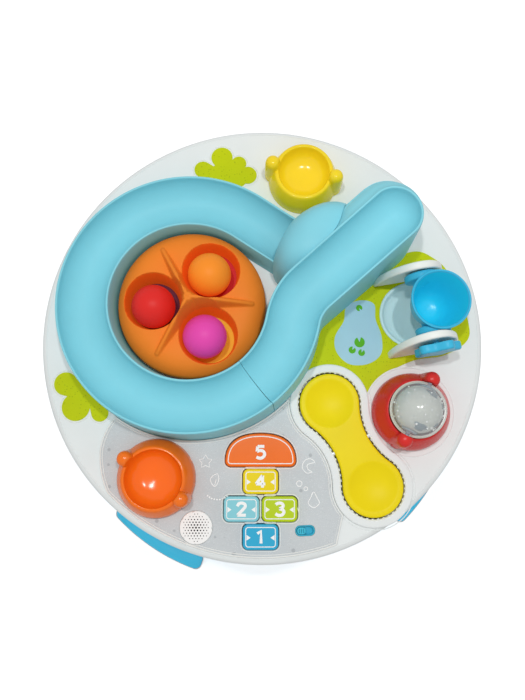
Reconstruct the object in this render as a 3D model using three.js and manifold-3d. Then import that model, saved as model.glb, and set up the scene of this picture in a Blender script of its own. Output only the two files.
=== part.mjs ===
// Baby activity table: a round play surface on four splayed legs, with a ball run, a three-hole sorter,
// bowls, a rattle, a tipping cup, a seesaw and a music panel. Millimetres, +Z up, origin on the floor
// under the table's centre, +Y towards the side where the ramp starts, -Y towards the music panel.

import * as THREE from 'three';
import { mergeVertices } from 'three/addons/utils/BufferGeometryUtils.js';
import Module from 'manifold-3d';

const wasm = await Module();
wasm.setup();

// Whole table
const surfaceHeight = 395;
const rimMargin = 17.1;
const ballRadius = 24;
const fitGap = 0.3;
const runningGap = 0.6;
const overrun = 6;
const weldTolerance = 0.0005;
const simplifyTolerance = 0.1;

// Table shells, heights counted down from the play surface
const plateThickness = 3;
const shoulderWidth = 8;
const shoulderDepth = 8;
const seamDepth = 16;
const trayDepth = 38;
const trayFloor = 3;
const trayInset = 14;

// Legs and feet
const legCount = 4;
const legHalfAngle = 14.5;
const firstLegAngle = 57.5;
const legTopRadius = 230;
const footRadius = 340;
const legTopThickness = 30;
const legFootThickness = 25;
const legWall = 3.2;
const legCorner = 10;
const legBow = 5;
const footPadHeight = 6;
const footPadLip = 1.2;
const spigotLength = 22;
const spigotWidth = 44;
const spigotThickness = 15;
const spigotInset = 17;
const socketWall = 2.6;

// Ball run
const ringCentreX = -78;
const ringCentreY = 32.5;
const ringRadius = 115.6;
const seamAngle = -51.6;
const releaseAngle = 57.3;
const tunnelRun = 70;
const firstBendRadius = 105;
const firstBend = 41.3;
const secondBendRadius = 56;
const secondBend = 39.2;
const rampRun = 111.5;
const channelHalfWidth = 28.3;
const channelDepth = 25;
const channelWall = 2.6;
const footFlare = 4.5;
const rampTopHeight = 98;
const seamHeight = 60;
const tunnelHeight = 28.6;
const shoulderFlare = 16;
const shoulderDrop = 16;
const stationStep = 23;

// Tunnel hood and the ball's way under the ramp
const hoodLength = 57;
const hoodWidth = 38.5;
const hoodHeight = 80;
const hoodSquareness = 3;
const hoodWall = 2.6;
const hoodAlong = 110;
const hoodAcross = 34;
const passageHalfWidth = 27;
const mouthHeight = 56;
const archHeight = 53;
const exitHeight = 50.4;
const exitTurn = 105;
const exitRun = 92;

// Sorter
const sorterRoom = 0.5;
const sorterHeight = 34;
const sorterWall = 3;
const sorterHoleRing = 42;
const sorterHoleTop = 32;
const sorterHoleBottom = 26.6;
const sorterHoleAngle = 58.3;
const sorterFinHeight = 28;
const sorterFinReach = 70;
const sorterFinThickness = 5;
const sorterHubRadius = 9.5;
const sorterBaseThickness = 2;
const sorterPadThickness = 0.8;
const sorterPadRadius = 28;
const sorterPinRadius = 4;
const sorterPinHead = 8;

// Bowls and rattle
const bowlBaseRadius = 42.5;
const yellowBowlBaseRadius = 39.6;
const bowlRimHeight = 30;
const bowlRimRadius = 34;
const bowlDishRadius = 30.5;
const bowlFloor = 5;
const yellowBowlFloor = 9;
const earRadius = 8.5;
const bowlEarTop = 40.5;
const rattleEarTop = 50.5;
const earReach = 36.3;
const rattleEarReach = 35;
const rattleRimHeight = 36;
const rattleAxleHeight = 42;
const rattleRadius = 29.5;
const rattleWall = 2;
const rattleAxleRadius = 2.5;
const rattleCoreRadius = 18;
const rattleCoreLength = 34;

// Tipping cup and its fins
const finLength = 75;
const finHeight = 74;
const finThickness = 8;
const finSpread = 87;
const finLean = 4;
const cupAxisHeight = 48;
const cupAxisShift = 5;
const cupTilt = 3;
const cupRadius = 31.2;
const cupOffset = 7;
const cupRimRise = 22;
const cupDrop = 33;
const cupWall = 2.6;
const cupBossRadius = 17;
const pivotRadius = 3.4;
const knobRadius = 24;
const knobThickness = 9;
const wellRadius = 38;
const wellDepth = 13;
const wellWall = 2;
const wellLip = 2.4;

// Seesaw
const seesawLobe = 33;
const seesawSpan = 101.4;
const seesawWaist = 20.5;
const seesawThickness = 10;
const seesawSink = 4;
const seesawDish = 26.5;
const seesawDishDepth = 7;
const seesawPinRadius = 3;
const bezelWidth = 11;
const bezelHeight = 4;
const bezelClearance = 1.7;
const bezelWall = 2;
const tubDepth = 17;

// Music panel
const panelThickness = 2;
const buttonWidth = 38.4;
const buttonDepth = 26.8;
const buttonCorner = 6;
const buttonPitchX = 41.2;
const buttonPitchY = 29.2;
const buttonHeight = 4.5;
const buttonTravel = 2;
const buttonClearance = 0.4;
const buttonFlange = 0.9;
const buttonEdge = 1.2;
const buttonFlangeThickness = 1.8;
const domeButtonWidth = 77;
const domeButtonHeight = 36;
const switchLength = 21;
const switchWidth = 11;
const switchCorner = 5;
const switchDepth = 7;
const switchRise = 4.5;
const switchTravel = 8;
const grilleRadius = 17.8;
const grilleRise = 3;

// Parts inside the shells
const matThickness = 1.8;
const boardThickness = 1.6;
const speakerRadius = 16;
const speakerDepth = 13;
const batteryRadius = 7.1;
const batteryLength = 50.5;
const batteryPitch = 15;
const batteryCount = 3;
const boxWall = 2;
const batteryShift = 12.5;
const doorThickness = 2.4;
const screwRadius = 1.5;
const screwHeadRadius = 3;
const screwLength = 9;
const leadRadius = 0.9;

// How far each toy's middle stands from the ring's foot
const yellowBowlApart = 49.1;
const orangeBowlApart = 44.63;
const rattleApart = 120.39;
const swingApart = 101.2;
const seesawApart = 84.9;
const grilleApart = 93.69;
const powerSwitchApart = 126.51;
const buttonsApart = 59.23;

// Inlays
const inlayThickness = 0.6;

// How finely round things are divided
const roundSides = 48;
const domeSides = 30;
const middleSides = 22;
const smallSides = 12;
const fewSides = 8;

const degree = Math.PI / 180;

// The ring's foot, and the round top that is wide enough to carry it
const ringCentre = new THREE.Vector2(ringCentreX, ringCentreY);
const ringFoot = ringRadius + channelHalfWidth + footFlare;
const sorterRadius = ringRadius - channelHalfWidth - footFlare - sorterRoom;
const tableRadius = ringCentre.length() + ringFoot + rimMargin;

// Places on the play surface: a bearing from the ring's centre and the toy's own turn, in degrees
function besideRing({ bearing, turn }, apart) {
  const reach = ringFoot + apart;
  const [c, s] = [Math.cos(bearing * degree), Math.sin(bearing * degree)];
  return { x: ringCentre.x + reach * c, y: ringCentre.y + reach * s, turn };
}

const places = {
  sorter: { x: ringCentre.x, y: ringCentre.y, turn: 0 },
  yellowBowl: besideRing({ bearing: 50.55, turn: -13 }, yellowBowlApart),
  orangeBowl: besideRing({ bearing: -100.98, turn: -35.2 }, orangeBowlApart),
  rattle: besideRing({ bearing: -25.92, turn: 63.9 }, rattleApart),
  swing: besideRing({ bearing: -1.72, turn: 10 }, swingApart),
  seesaw: besideRing({ bearing: -41.18, turn: -63.1 }, seesawApart),
  grille: besideRing({ bearing: -88.4, turn: 0 }, grilleApart),
  powerSwitch: besideRing({ bearing: -63.12, turn: 2.6 }, powerSwitchApart),
  buttons: besideRing({ bearing: -68.44, turn: 0 }, buttonsApart),
  batteryBox: { x: ringCentre.x, y: ringCentre.y + batteryShift, turn: 0 },
};

// Colours as in the photograph, with the roughness of moulded plastic
function plastic(color, roughness = 0.4, metalness = 0) {
  return new THREE.MeshStandardMaterial({ color, roughness, metalness });
}

const table = new THREE.Group();
const top = new THREE.Group();
top.position.z = surfaceHeight;
table.add(top);

// Drop everything but the shared corners, and the triangles that shrank to a line
function weld(geometry) {
  const bare = geometry.clone();
  bare.deleteAttribute('normal');
  bare.deleteAttribute('uv');
  const merged = mergeVertices(bare, weldTolerance);
  const corners = merged.index.array;
  const kept = [];
  for (let i = 0; i < corners.length; i += 3) {
    const [a, b, c] = [corners[i], corners[i + 1], corners[i + 2]];
    if (a !== b && b !== c && c !== a) kept.push(a, b, c);
  }
  merged.setIndex(kept);
  return merged;
}

function solid(geometry) {
  const merged = weld(geometry);
  return new wasm.Manifold(new wasm.Mesh({
    numProp: 3,
    vertProperties: new Float32Array(merged.attributes.position.array),
    triVerts: new Uint32Array(merged.index.array),
  }));
}

function geometryOf(body) {
  const mesh = body.simplify(simplifyTolerance).getMesh();
  const geometry = new THREE.BufferGeometry();
  const count = mesh.vertProperties.length / mesh.numProp;
  const position = new Float32Array(count * 3);
  for (let i = 0; i < count; i += 1) {
    for (let k = 0; k < 3; k += 1) position[i * 3 + k] = mesh.vertProperties[i * mesh.numProp + k];
  }
  geometry.setAttribute('position', new THREE.BufferAttribute(position, 3));
  geometry.setIndex(new THREE.BufferAttribute(new Uint32Array(mesh.triVerts), 1));
  return geometry;
}

// One named piece in a group, from a cut solid or a plain geometry
function piece(parent, name, shape, material) {
  const geometry = shape.isBufferGeometry ? weld(shape) : geometryOf(shape);
  const mesh = new THREE.Mesh(geometry, material);
  mesh.name = name;
  parent.add(mesh);
  return mesh;
}

// A group standing on the play surface at a place
function standing(at) {
  const group = new THREE.Group();
  group.position.set(at.x, at.y, 0);
  group.rotation.z = at.turn * degree;
  top.add(group);
  return group;
}

// A geometry carried from a place's own frame to the play surface's frame
function carried(geometry, at) {
  return geometry.clone().rotateZ(at.turn * degree).translate(at.x, at.y, 0);
}

// The same geometry carried back from the play surface's frame to a place's own frame
function broughtTo(geometry, at) {
  return geometry.clone().translate(-at.x, -at.y, 0).rotateZ(-at.turn * degree);
}

// Round solid from a profile of [radius, height] points, the first and last on the axis
function turned(profile, sides = middleSides) {
  const points = profile.map(([radius, height]) => new THREE.Vector2(radius, height));
  return new THREE.LatheGeometry(points, sides).rotateX(Math.PI / 2);
}

function rod(radius, low, high, sides = smallSides) {
  return turned([[0, low], [radius, low], [radius, high], [0, high]], sides);
}

function ball(radius, sides = smallSides) {
  return new THREE.SphereGeometry(radius, sides, Math.round(sides * 0.7)).rotateX(Math.PI / 2);
}

// Flat outline between two heights
function slab(shape, low, high, curveSegments = 8) {
  const options = { depth: high - low, bevelEnabled: false, curveSegments };
  return new THREE.ExtrudeGeometry(shape, options).translate(0, 0, low);
}

// Flat outline whose top edge is rounded by a small radius
function softSlab(shape, low, high, edge, curveSegments = 8) {
  const options = {
    depth: high - low - edge, bevelEnabled: true, bevelThickness: edge, bevelSize: edge,
    bevelOffset: -edge, bevelSegments: 1, curveSegments,
  };
  const rounded = solid(new THREE.ExtrudeGeometry(shape, options).translate(0, 0, low));
  const keep = solid(new THREE.BoxGeometry(tableRadius, tableRadius, high - low + overrun)
    .translate(0, 0, (low + high + overrun) / 2));
  return rounded.intersect(keep);
}

function roundedRectangle(width, depth, corner) {
  const [x, y] = [width / 2, depth / 2];
  const shape = new THREE.Shape();
  shape.moveTo(-x + corner, -y);
  shape.lineTo(x - corner, -y);
  shape.absarc(x - corner, -y + corner, corner, -Math.PI / 2, 0);
  shape.lineTo(x, y - corner);
  shape.absarc(x - corner, y - corner, corner, 0, Math.PI / 2);
  shape.lineTo(-x + corner, y);
  shape.absarc(-x + corner, y - corner, corner, Math.PI / 2, Math.PI);
  shape.lineTo(-x, -y + corner);
  shape.absarc(-x + corner, -y + corner, corner, Math.PI, Math.PI * 1.5);
  return shape;
}

function disc(radius, x = 0, y = 0) {
  const shape = new THREE.Shape();
  shape.absarc(x, y, radius, 0, Math.PI * 2);
  return shape;
}

// Skin over rows of points: along the rows' joins, round each row if it is a loop, and over end outlines
function skin(parts) {
  const position = [];
  const index = [];
  for (const { rows, loop, firstOutline, lastOutline } of parts) {
    const base = position.length / 3;
    const size = rows[0].length;
    for (const row of rows) for (const point of row) position.push(point.x, point.y, point.z);
    for (let i = 0; i + 1 < rows.length; i += 1) {
      for (let j = 0; j + (loop ? 0 : 1) < size; j += 1) {
        const next = (j + 1) % size;
        const here = base + i * size;
        index.push(here + j, here + next, here + size + next, here + j, here + size + next, here + size + j);
      }
    }
    const last = base + (rows.length - 1) * size;
    if (firstOutline) {
      for (const [a, b, c] of THREE.ShapeUtils.triangulateShape(firstOutline, [])) {
        index.push(base + a, base + c, base + b);
      }
    }
    if (lastOutline) {
      for (const [a, b, c] of THREE.ShapeUtils.triangulateShape(lastOutline, [])) {
        index.push(last + a, last + b, last + c);
      }
    }
  }
  const geometry = new THREE.BufferGeometry();
  geometry.setAttribute('position', new THREE.Float32BufferAttribute(position, 3));
  geometry.setIndex(index);
  return geometry;
}

const smooth = THREE.MathUtils.smoothstep;
const flat = (outline) => outline.map(([across, height]) => new THREE.Vector2(across, height));

// Half of a channel's section, from the middle of its underside round the foot and rim to the bowl's middle.
// Points are [out from the middle, height]; the channel is thin, with a wall down to the table.
function channelHalf(height, flare) {
  const inner = channelHalfWidth - channelWall;
  const foot = channelHalfWidth + footFlare + flare;
  const shoulder = channelHalfWidth + footFlare * shoulderDrop / height + flare;
  const half = [];
  const underSteps = 2;
  const underStartShare = 0.32;
  for (let i = 0; i <= underSteps; i += 1) {
    const angle = Math.PI / 2 * (1 - (1 - underStartShare) * i / underSteps);
    half.push([channelHalfWidth * Math.cos(angle), height - (channelDepth + channelWall) * Math.sin(angle)]);
  }
  half.push([shoulder - channelWall, height - shoulderDrop - channelWall / 2]);
  half.push([foot - channelWall, fitGap], [foot, fitGap], [shoulder, height - shoulderDrop]);
  half.push([channelHalfWidth, height]);
  const bowlSteps = 4;
  for (let i = 0; i <= bowlSteps; i += 1) {
    const angle = Math.PI / 2 * i / bowlSteps;
    half.push([inner * Math.cos(angle), height - channelDepth * Math.sin(angle)]);
  }
  return half;
}

// The same half without its hollows, grown by a clearance, used to cut the neighbours
function envelopeHalf(height, flare, clearance) {
  const foot = channelHalfWidth + footFlare + flare + clearance;
  const shoulder = channelHalfWidth + footFlare * shoulderDrop / height + flare + clearance;
  return [
    [0, -overrun], [foot, -overrun], [foot, fitGap], [shoulder, height - shoulderDrop],
    [channelHalfWidth + clearance, height + clearance], [0, height + clearance],
  ];
}

// Both halves as one loop, counter-clockwise seen along the run, left half first
function bothHalves(left, right) {
  const mirrored = right.slice(1, -1).map(([out, height]) => [-out, height]).reverse();
  return [...left, ...mirrored];
}

// Stations of the run: place, heading in degrees, rim height and the extra flare of the left wall
function ringStations(seamDrawBack) {
  const sweep = 360 - (releaseAngle - seamAngle);
  const ringLength = sweep * degree * ringRadius;
  const whole = ringLength + tunnelRun;
  const stations = [];
  const steps = Math.round(ringLength / stationStep);
  const heightAt = (run) => seamHeight + (tunnelHeight - seamHeight) * run / whole;
  for (let i = 0; i <= steps; i += 1) {
    const drawBack = i === 0 ? seamDrawBack / ringRadius / degree : 0;
    const angle = seamAngle - drawBack - sweep * i / steps;
    stations.push({
      x: ringCentre.x + ringRadius * Math.cos(angle * degree),
      y: ringCentre.y + ringRadius * Math.sin(angle * degree),
      heading: angle - 90, height: heightAt(ringLength * i / steps), flare: 0,
    });
  }
  const from = stations[stations.length - 1];
  const straight = Math.round(tunnelRun / stationStep);
  for (let i = 1; i <= straight; i += 1) {
    const run = tunnelRun * i / straight;
    stations.push({
      x: from.x + run * Math.cos(from.heading * degree),
      y: from.y + run * Math.sin(from.heading * degree),
      heading: from.heading, height: heightAt(ringLength + run), flare: 0,
    });
  }
  return stations;
}

// Uphill from the seam: left bend, right bend, straight ramp. The left hand uphill is the sorter's side.
function rampStations() {
  const legs = [
    { length: firstBend * degree * firstBendRadius, turn: firstBend },
    { length: secondBend * degree * secondBendRadius, turn: -secondBend },
    { length: rampRun, turn: 0 },
  ];
  const whole = legs.reduce((sum, leg) => sum + leg.length, 0);
  let x = ringCentre.x + ringRadius * Math.cos(seamAngle * degree);
  let y = ringCentre.y + ringRadius * Math.sin(seamAngle * degree);
  let heading = seamAngle + 90;
  let run = 0;
  const stations = [{ x, y, heading, height: seamHeight, flare: 0 }];
  for (const leg of legs) {
    const steps = Math.round(leg.length / stationStep);
    const step = leg.length / steps;
    const turn = leg.turn / steps;
    const halfTurn = turn * degree / 2;
    const chord = turn === 0 ? step : step * Math.sin(halfTurn) / halfTurn;
    for (let i = 0; i < steps; i += 1) {
      x += chord * Math.cos((heading + turn / 2) * degree);
      y += chord * Math.sin((heading + turn / 2) * degree);
      heading += turn;
      run += step;
      const bends = whole - rampRun;
      const tuck = smooth(run, 0, stationStep) - smooth(run, bends, bends + stationStep * 2);
      const bulge = smooth(run, bends + rampRun * 0.45, bends + rampRun * 0.8);
      stations.push({
        x, y, heading, height: seamHeight + (rampTopHeight - seamHeight) * run / whole,
        flare: shoulderFlare * bulge - footFlare * tuck,
      });
    }
  }
  return stations;
}

function rowAt(station, outline) {
  const [c, s] = [Math.cos(station.heading * degree), Math.sin(station.heading * degree)];
  return outline.map(([across, height]) =>
    new THREE.Vector3(station.x - s * across, station.y + c * across, height));
}

function run(stations, halfOf) {
  const outlines = stations.map((at) => bothHalves(halfOf(at.height, at.flare), halfOf(at.height, 0)));
  return {
    rows: stations.map((station, i) => rowAt(station, outlines[i])), loop: true,
    firstOutline: flat(outlines[0]), lastOutline: flat(outlines[outlines.length - 1]),
  };
}

// Half turn of the left half about the upright line at the ramp's top, which closes the ramp's round end
function roundEnd(station, halfOf) {
  const steps = 9;
  const rows = [];
  for (let i = 0; i <= steps; i += 1) {
    const angle = (station.heading + 90 - 180 * i / steps) * degree;
    const flare = station.flare * (1 - smooth(i / steps, 0, 1));
    rows.push(halfOf(station.height, flare).map(([radius, height]) => new THREE.Vector3(
      station.x + radius * Math.cos(angle), station.y + radius * Math.sin(angle), height)));
  }
  return { rows, loop: false };
}

const lowerStations = ringStations(fitGap);
const upperStations = rampStations();
const rampTop = upperStations[upperStations.length - 1];
const tunnelEnd = lowerStations[lowerStations.length - 1];

function lowerRun(halfOf) {
  return skin([run(lowerStations, halfOf)]);
}

function upperRun(halfOf) {
  const ramp = run(upperStations, halfOf);
  return skin([{ ...ramp, lastOutline: null }, roundEnd(rampTop, halfOf)]);
}

// Everything that the tracks fill, as cutters with a clearance round them
const withClearance = (clearance) => (height, flare) => envelopeHalf(height, flare, clearance);
const lowerCutter = solid(lowerRun(withClearance(fitGap)));
const upperCutter = solid(upperRun(withClearance(fitGap)));

// An arched bore for a ball, from a place, along a heading
function ballBore(from, heading, length, tall) {
  const half = passageHalfWidth;
  const shape = new THREE.Shape();
  shape.moveTo(-half, 0);
  shape.lineTo(half, 0);
  shape.absarc(0, tall + overrun - half, half, 0, Math.PI);
  const bore = new THREE.ExtrudeGeometry(shape, { depth: length, bevelEnabled: false, curveSegments: 10 });
  return bore.rotateX(Math.PI / 2).rotateZ(heading * degree + Math.PI / 2)
    .translate(from.x, from.y, -overrun);
}

const trackBlue = plastic(0x86d3e4);

// A place beside a station, to the left of the run
function beside(station, out) {
  const angle = (station.heading + 90) * degree;
  return { x: station.x + out * Math.cos(angle), y: station.y + out * Math.sin(angle) };
}

// Upper track, with its arch inside the hood and the balls' way out beside the sorter
{
  const exitStation = upperStations[Math.round(exitRun / stationStep)];
  const reach = channelHalfWidth + footFlare + overrun;
  const arch = solid(ballBore(tunnelEnd, tunnelEnd.heading, reach + overrun, archHeight));
  const wayOut = solid(ballBore(beside(exitStation, channelHalfWidth / 2), exitStation.heading + exitTurn,
    reach, exitHeight));
  piece(top, 'upper_track', solid(upperRun(channelHalf)).subtract(arch).subtract(wayOut), trackBlue);
}

piece(top, 'lower_track', lowerRun(channelHalf), trackBlue);

// Tunnel hood: a half egg against the ramp's wall, open where the ring runs in
{
  const heading = rampTop.heading;
  const [c, s] = [Math.cos(heading * degree), Math.sin(heading * degree)];
  const centre = { x: hoodAlong * c - hoodAcross * s, y: hoodAlong * s + hoodAcross * c };
  const eggSteps = 8;
  const egg = (inset) => {
    const profile = Array.from({ length: eggSteps + 1 }, (unused, i) => {
      const angle = Math.PI / 2 * i / eggSteps;
      return [Math.cos(angle) ** (2 / hoodSquareness), Math.sin(angle) ** (2 / hoodSquareness)];
    });
    return solid(turned([[0, -1], [1, -1], ...profile], middleSides)
      .scale(hoodLength - inset, hoodWidth - inset, hoodHeight - inset)
      .rotateZ(heading * degree).translate(centre.x, centre.y, 0));
  };
  const below = solid(new THREE.BoxGeometry(tableRadius, tableRadius, hoodHeight * 2)
    .translate(centre.x, centre.y, fitGap - hoodHeight));
  const from = lowerStations[lowerStations.length - 1 - Math.round(tunnelRun / stationStep)];
  const entry = solid(ballBore(from, from.heading, tunnelRun + hoodWidth, mouthHeight));
  const hood = egg(0).subtract(egg(hoodWall)).subtract(below).subtract(upperCutter).subtract(lowerCutter)
    .subtract(entry);
  const shells = hood.decompose().sort((one, other) => other.volume() - one.volume());
  piece(top, 'tunnel_hood', shells[0], plastic(0x8fcad6));
}

// Seesaw outline: two round lobes and a waist drawn in by tangent arcs, long axis along X
function boneShape(grow) {
  const half = seesawSpan / 2;
  const fillet = (half * half + seesawWaist * seesawWaist - seesawLobe * seesawLobe)
    / (2 * (seesawLobe - seesawWaist));
  const away = seesawWaist + fillet;
  const tilt = Math.atan2(away, half);
  const shape = new THREE.Shape();
  shape.absarc(half, 0, seesawLobe + grow, tilt - Math.PI, Math.PI - tilt, false);
  shape.absarc(0, away, fillet - grow, -tilt, tilt - Math.PI, true);
  shape.absarc(-half, 0, seesawLobe + grow, tilt, 2 * Math.PI - tilt, false);
  shape.absarc(0, -away, fillet - grow, Math.PI - tilt, tilt, true);
  return shape;
}

const boneSegments = 6;
const bone = (grow, low, high) => slab(boneShape(grow), low, high, boneSegments);
const inRim = (inset) => solid(rod(tableRadius - inset, -trayDepth, rampTopHeight, roundSides));

{
  const group = standing(places.seesaw);
  const plateTop = seesawThickness - seesawSink;
  const pinHeight = plateTop - seesawThickness / 2;
  const bore = (radius, half) => rod(radius, -half, half).rotateX(Math.PI / 2).translate(0, 0, pinHeight);
  const pinHalf = seesawWaist + bezelClearance + bezelWall;
  const bezel = solid(bone(bezelWidth, fitGap, bezelHeight))
    .add(solid(bone(bezelClearance + bezelWall, -tubDepth - bezelWall, bezelHeight / 2)))
    .subtract(solid(bone(bezelClearance, -tubDepth, bezelHeight + overrun)))
    .subtract(solid(bore(seesawPinRadius + fitGap, pinHalf + fitGap)))
    .subtract(solid(broughtTo(lowerRun(withClearance(fitGap)), places.seesaw)))
    .subtract(solid(broughtTo(upperRun(withClearance(fitGap)), places.seesaw)))
    .intersect(solid(broughtTo(rod(tableRadius - shoulderWidth / 2, -trayDepth, rampTopHeight, roundSides),
      places.seesaw)));
  piece(group, 'seesaw_bezel', bezel, plastic(0xeaeeec));

  const dishSphere = (seesawDish * seesawDish + seesawDishDepth * seesawDishDepth) / (2 * seesawDishDepth);
  let plate = softSlab(boneShape(0), -seesawSink, plateTop, buttonEdge * 2, boneSegments);
  for (const side of [-1, 1]) {
    const dish = ball(dishSphere, middleSides)
      .translate(side * seesawSpan / 2, 0, plateTop + dishSphere - seesawDishDepth);
    plate = plate.subtract(solid(dish));
  }
  plate = plate.subtract(solid(bore(seesawPinRadius + fitGap, seesawWaist + overrun)));
  piece(group, 'seesaw', plate, plastic(0xead424));
  piece(group, 'seesaw_pin', bore(seesawPinRadius, pinHalf), plastic(0xc9ccce, 0.3, 0.8));
}

// Tipping cup: two leaning fins, a cup on a level axis between them, its knob outside the front fin
const wellBowlRadius = wellRadius - wellLip;
{
  const group = standing(places.swing);
  const axis = (geometry) => geometry.rotateX(Math.PI / 2).translate(cupAxisShift, 0, cupAxisHeight);
  const pivotHole = solid(axis(rod(pivotRadius + fitGap, -finSpread, finSpread)));
  const finShape = new THREE.Shape();
  finShape.absellipse(0, 0, finLength / 2, finHeight, 0, Math.PI);
  const rampRoom = solid(broughtTo(upperRun(withClearance(fitGap)), places.swing));
  const cutAt = solid(new THREE.BoxGeometry(finLength * 2, finSpread * 2, finHeight * 2)
    .translate(0, 0, finHeight + fitGap));
  for (const [name, side] of [['swing_fin_front', -1], ['swing_fin_rear', 1]]) {
    const bevel = finThickness / 5;
    const fin = new THREE.ExtrudeGeometry(finShape, {
      depth: finThickness - bevel * 2, bevelEnabled: true, bevelThickness: bevel, bevelSize: bevel,
      bevelOffset: -bevel, bevelSegments: 1, curveSegments: 14,
    });
    fin.translate(0, 0, bevel - finThickness / 2).rotateX(Math.PI / 2).translate(0, 0, -bevel);
    fin.rotateX(side * finLean * degree).translate(0, side * finSpread / 2, 0);
    piece(group, name, solid(fin).intersect(cutAt).subtract(pivotHole).subtract(rampRoom), plastic(0xecf0ed));
  }

  const insideFace = finSpread / 2 - finThickness / 2 - cupAxisHeight * Math.tan(finLean * degree);
  const bossFace = insideFace - cupBossRadius * Math.tan(finLean * degree) - runningGap;
  const outsideFace = finSpread / 2 + finThickness / 2
    - (cupAxisHeight - knobRadius) * Math.tan(finLean * degree);
  const knobFace = outsideFace + runningGap;
  const wholeDepth = cupDrop + cupRimRise;
  const cupShares = [[0, 0], [0.45, 0.03], [0.76, 0.16], [0.93, 0.4], [1, 0.72], [1, 1]];
  const bowl = (radius, floor) => cupShares.map(([out, up]) =>
    [out * radius, floor + up * (cupRimRise - floor)]);
  const outer = [...bowl(cupRadius, -cupDrop), [0, cupRimRise]];
  const inner = [...bowl(cupRadius - cupWall, cupWall - cupDrop), [cupRadius - cupWall, wholeDepth],
    [0, wholeDepth]];
  const turnCup = (geometry) => geometry.rotateY(cupTilt * degree).translate(cupAxisShift, 0, cupAxisHeight);
  const turnBowl = (profile) => turnCup(turned(profile, middleSides).translate(cupOffset, 0, 0));
  const across = (radius, low, high) => rod(radius, low, high).rotateX(-Math.PI / 2);
  const cup = solid(turnBowl(outer))
    .add(solid(turnCup(across(cupBossRadius, cupRadius / 2, bossFace))))
    .add(solid(turnCup(across(cupBossRadius, -bossFace, -cupRadius / 2))))
    .add(solid(turnCup(across(pivotRadius, cupRadius / 2, finSpread / 2))))
    .subtract(solid(turnBowl(inner)))
    .subtract(solid(turnCup(across(pivotRadius + fitGap, -bossFace - overrun, -bossFace + cupWall))));
  piece(group, 'swing_cup', cup, plastic(0x23a9dc));

  const lobes = 5;
  const dentShare = 0.12;
  const knobShape = new THREE.Shape();
  const knobPoints = 40;
  for (let i = 0; i < knobPoints; i += 1) {
    const angle = Math.PI * 2 * i / knobPoints;
    const radius = knobRadius * (1 - dentShare + dentShare * Math.cos(lobes * angle));
    if (i === 0) knobShape.moveTo(radius, 0);
    else knobShape.lineTo(radius * Math.cos(angle), radius * Math.sin(angle));
  }
  const knob = softSlab(knobShape, knobFace, knobFace + knobThickness, buttonEdge)
    .add(solid(rod(pivotRadius, bossFace - cupWall + fitGap, knobFace + buttonEdge)));
  const knobGeometry = geometryOf(knob).rotateX(Math.PI / 2).translate(cupAxisShift, 0, cupAxisHeight);
  piece(group, 'swing_knob', knobGeometry, plastic(0x3fb6de));

  const steps = 4;
  const dish = (radius, depth) => Array.from({ length: steps + 1 }, (unused, i) => [
    radius * Math.sin(Math.PI / 2 * i / steps), -depth * Math.cos(Math.PI / 2 * i / steps)]);
  const lipTop = fitGap + wellWall / 2;
  const well = [...dish(wellBowlRadius, wellDepth + wellWall), [wellBowlRadius, fitGap],
    [wellRadius, fitGap], [wellRadius, lipTop], [wellBowlRadius - wellWall, lipTop],
    ...dish(wellBowlRadius - wellWall, wellDepth).reverse()];
  piece(group, 'swing_well', turned(well, middleSides), plastic(0xb6d2da));
}

// Bowl with two ear posts. Wall shares run from the rim's radius to the base's, and from foot to rim.
function earedBowl({ base, rim, low, height, earTop, reach }, cavity) {
  const wallShares = [[0.8, 0], [1, 0.12], [0.9, 0.38], [0.45, 0.72], [0.05, 0.96], [-0.2, 1]];
  const wall = wallShares.map(([out, up]) => [rim + out * (base - rim), low + up * height]);
  let body = solid(turned([[0, low], ...wall, [0, low + height]], middleSides));
  for (const side of [-1, 1]) {
    const post = turned([[0, low], [earRadius, low], [earRadius, earTop - earRadius],
      ...[0.33, 0.66].map((share) => [earRadius * Math.cos(Math.PI / 2 * share),
        earTop - earRadius + earRadius * Math.sin(Math.PI / 2 * share)]), [0, earTop]], smallSides);
    body = body.add(solid(post.translate(side * reach, 0, 0)));
  }
  return body.subtract(cavity);
}

function dishCavity(radius, low, rimHeight) {
  const dishShares = [[0, 0], [0.6, 0.05], [0.87, 0.3], [0.96, 0.62], [1, 1]];
  const depth = rimHeight - low;
  const side = dishShares.map(([out, up]) => [out * radius, low + up * depth]);
  const above = rimHeight + bowlEarTop;
  return solid(turned([...side, [radius, above], [0, above]], middleSides));
}

{
  const group = standing(places.yellowBowl);
  const slim = bowlBaseRadius - yellowBowlBaseRadius;
  const bowl = earedBowl({
    base: yellowBowlBaseRadius, rim: bowlRimRadius - slim / 2, low: fitGap, height: bowlRimHeight - fitGap,
    earTop: bowlEarTop, reach: earReach,
  }, dishCavity(bowlDishRadius - slim / 2, yellowBowlFloor, bowlRimHeight));
  piece(group, 'yellow_bowl', bowl, plastic(0xf3d12b));
}

const panelTop = fitGap + panelThickness;
{
  const group = standing(places.orangeBowl);
  const low = panelTop + fitGap;
  const bowl = earedBowl({
    base: bowlBaseRadius, rim: bowlRimRadius, low, height: bowlRimHeight - low,
    earTop: bowlEarTop, reach: earReach,
  }, dishCavity(bowlDishRadius, low + bowlFloor, bowlRimHeight));
  piece(group, 'orange_bowl', bowl, plastic(0xee5d18));
}

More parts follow.
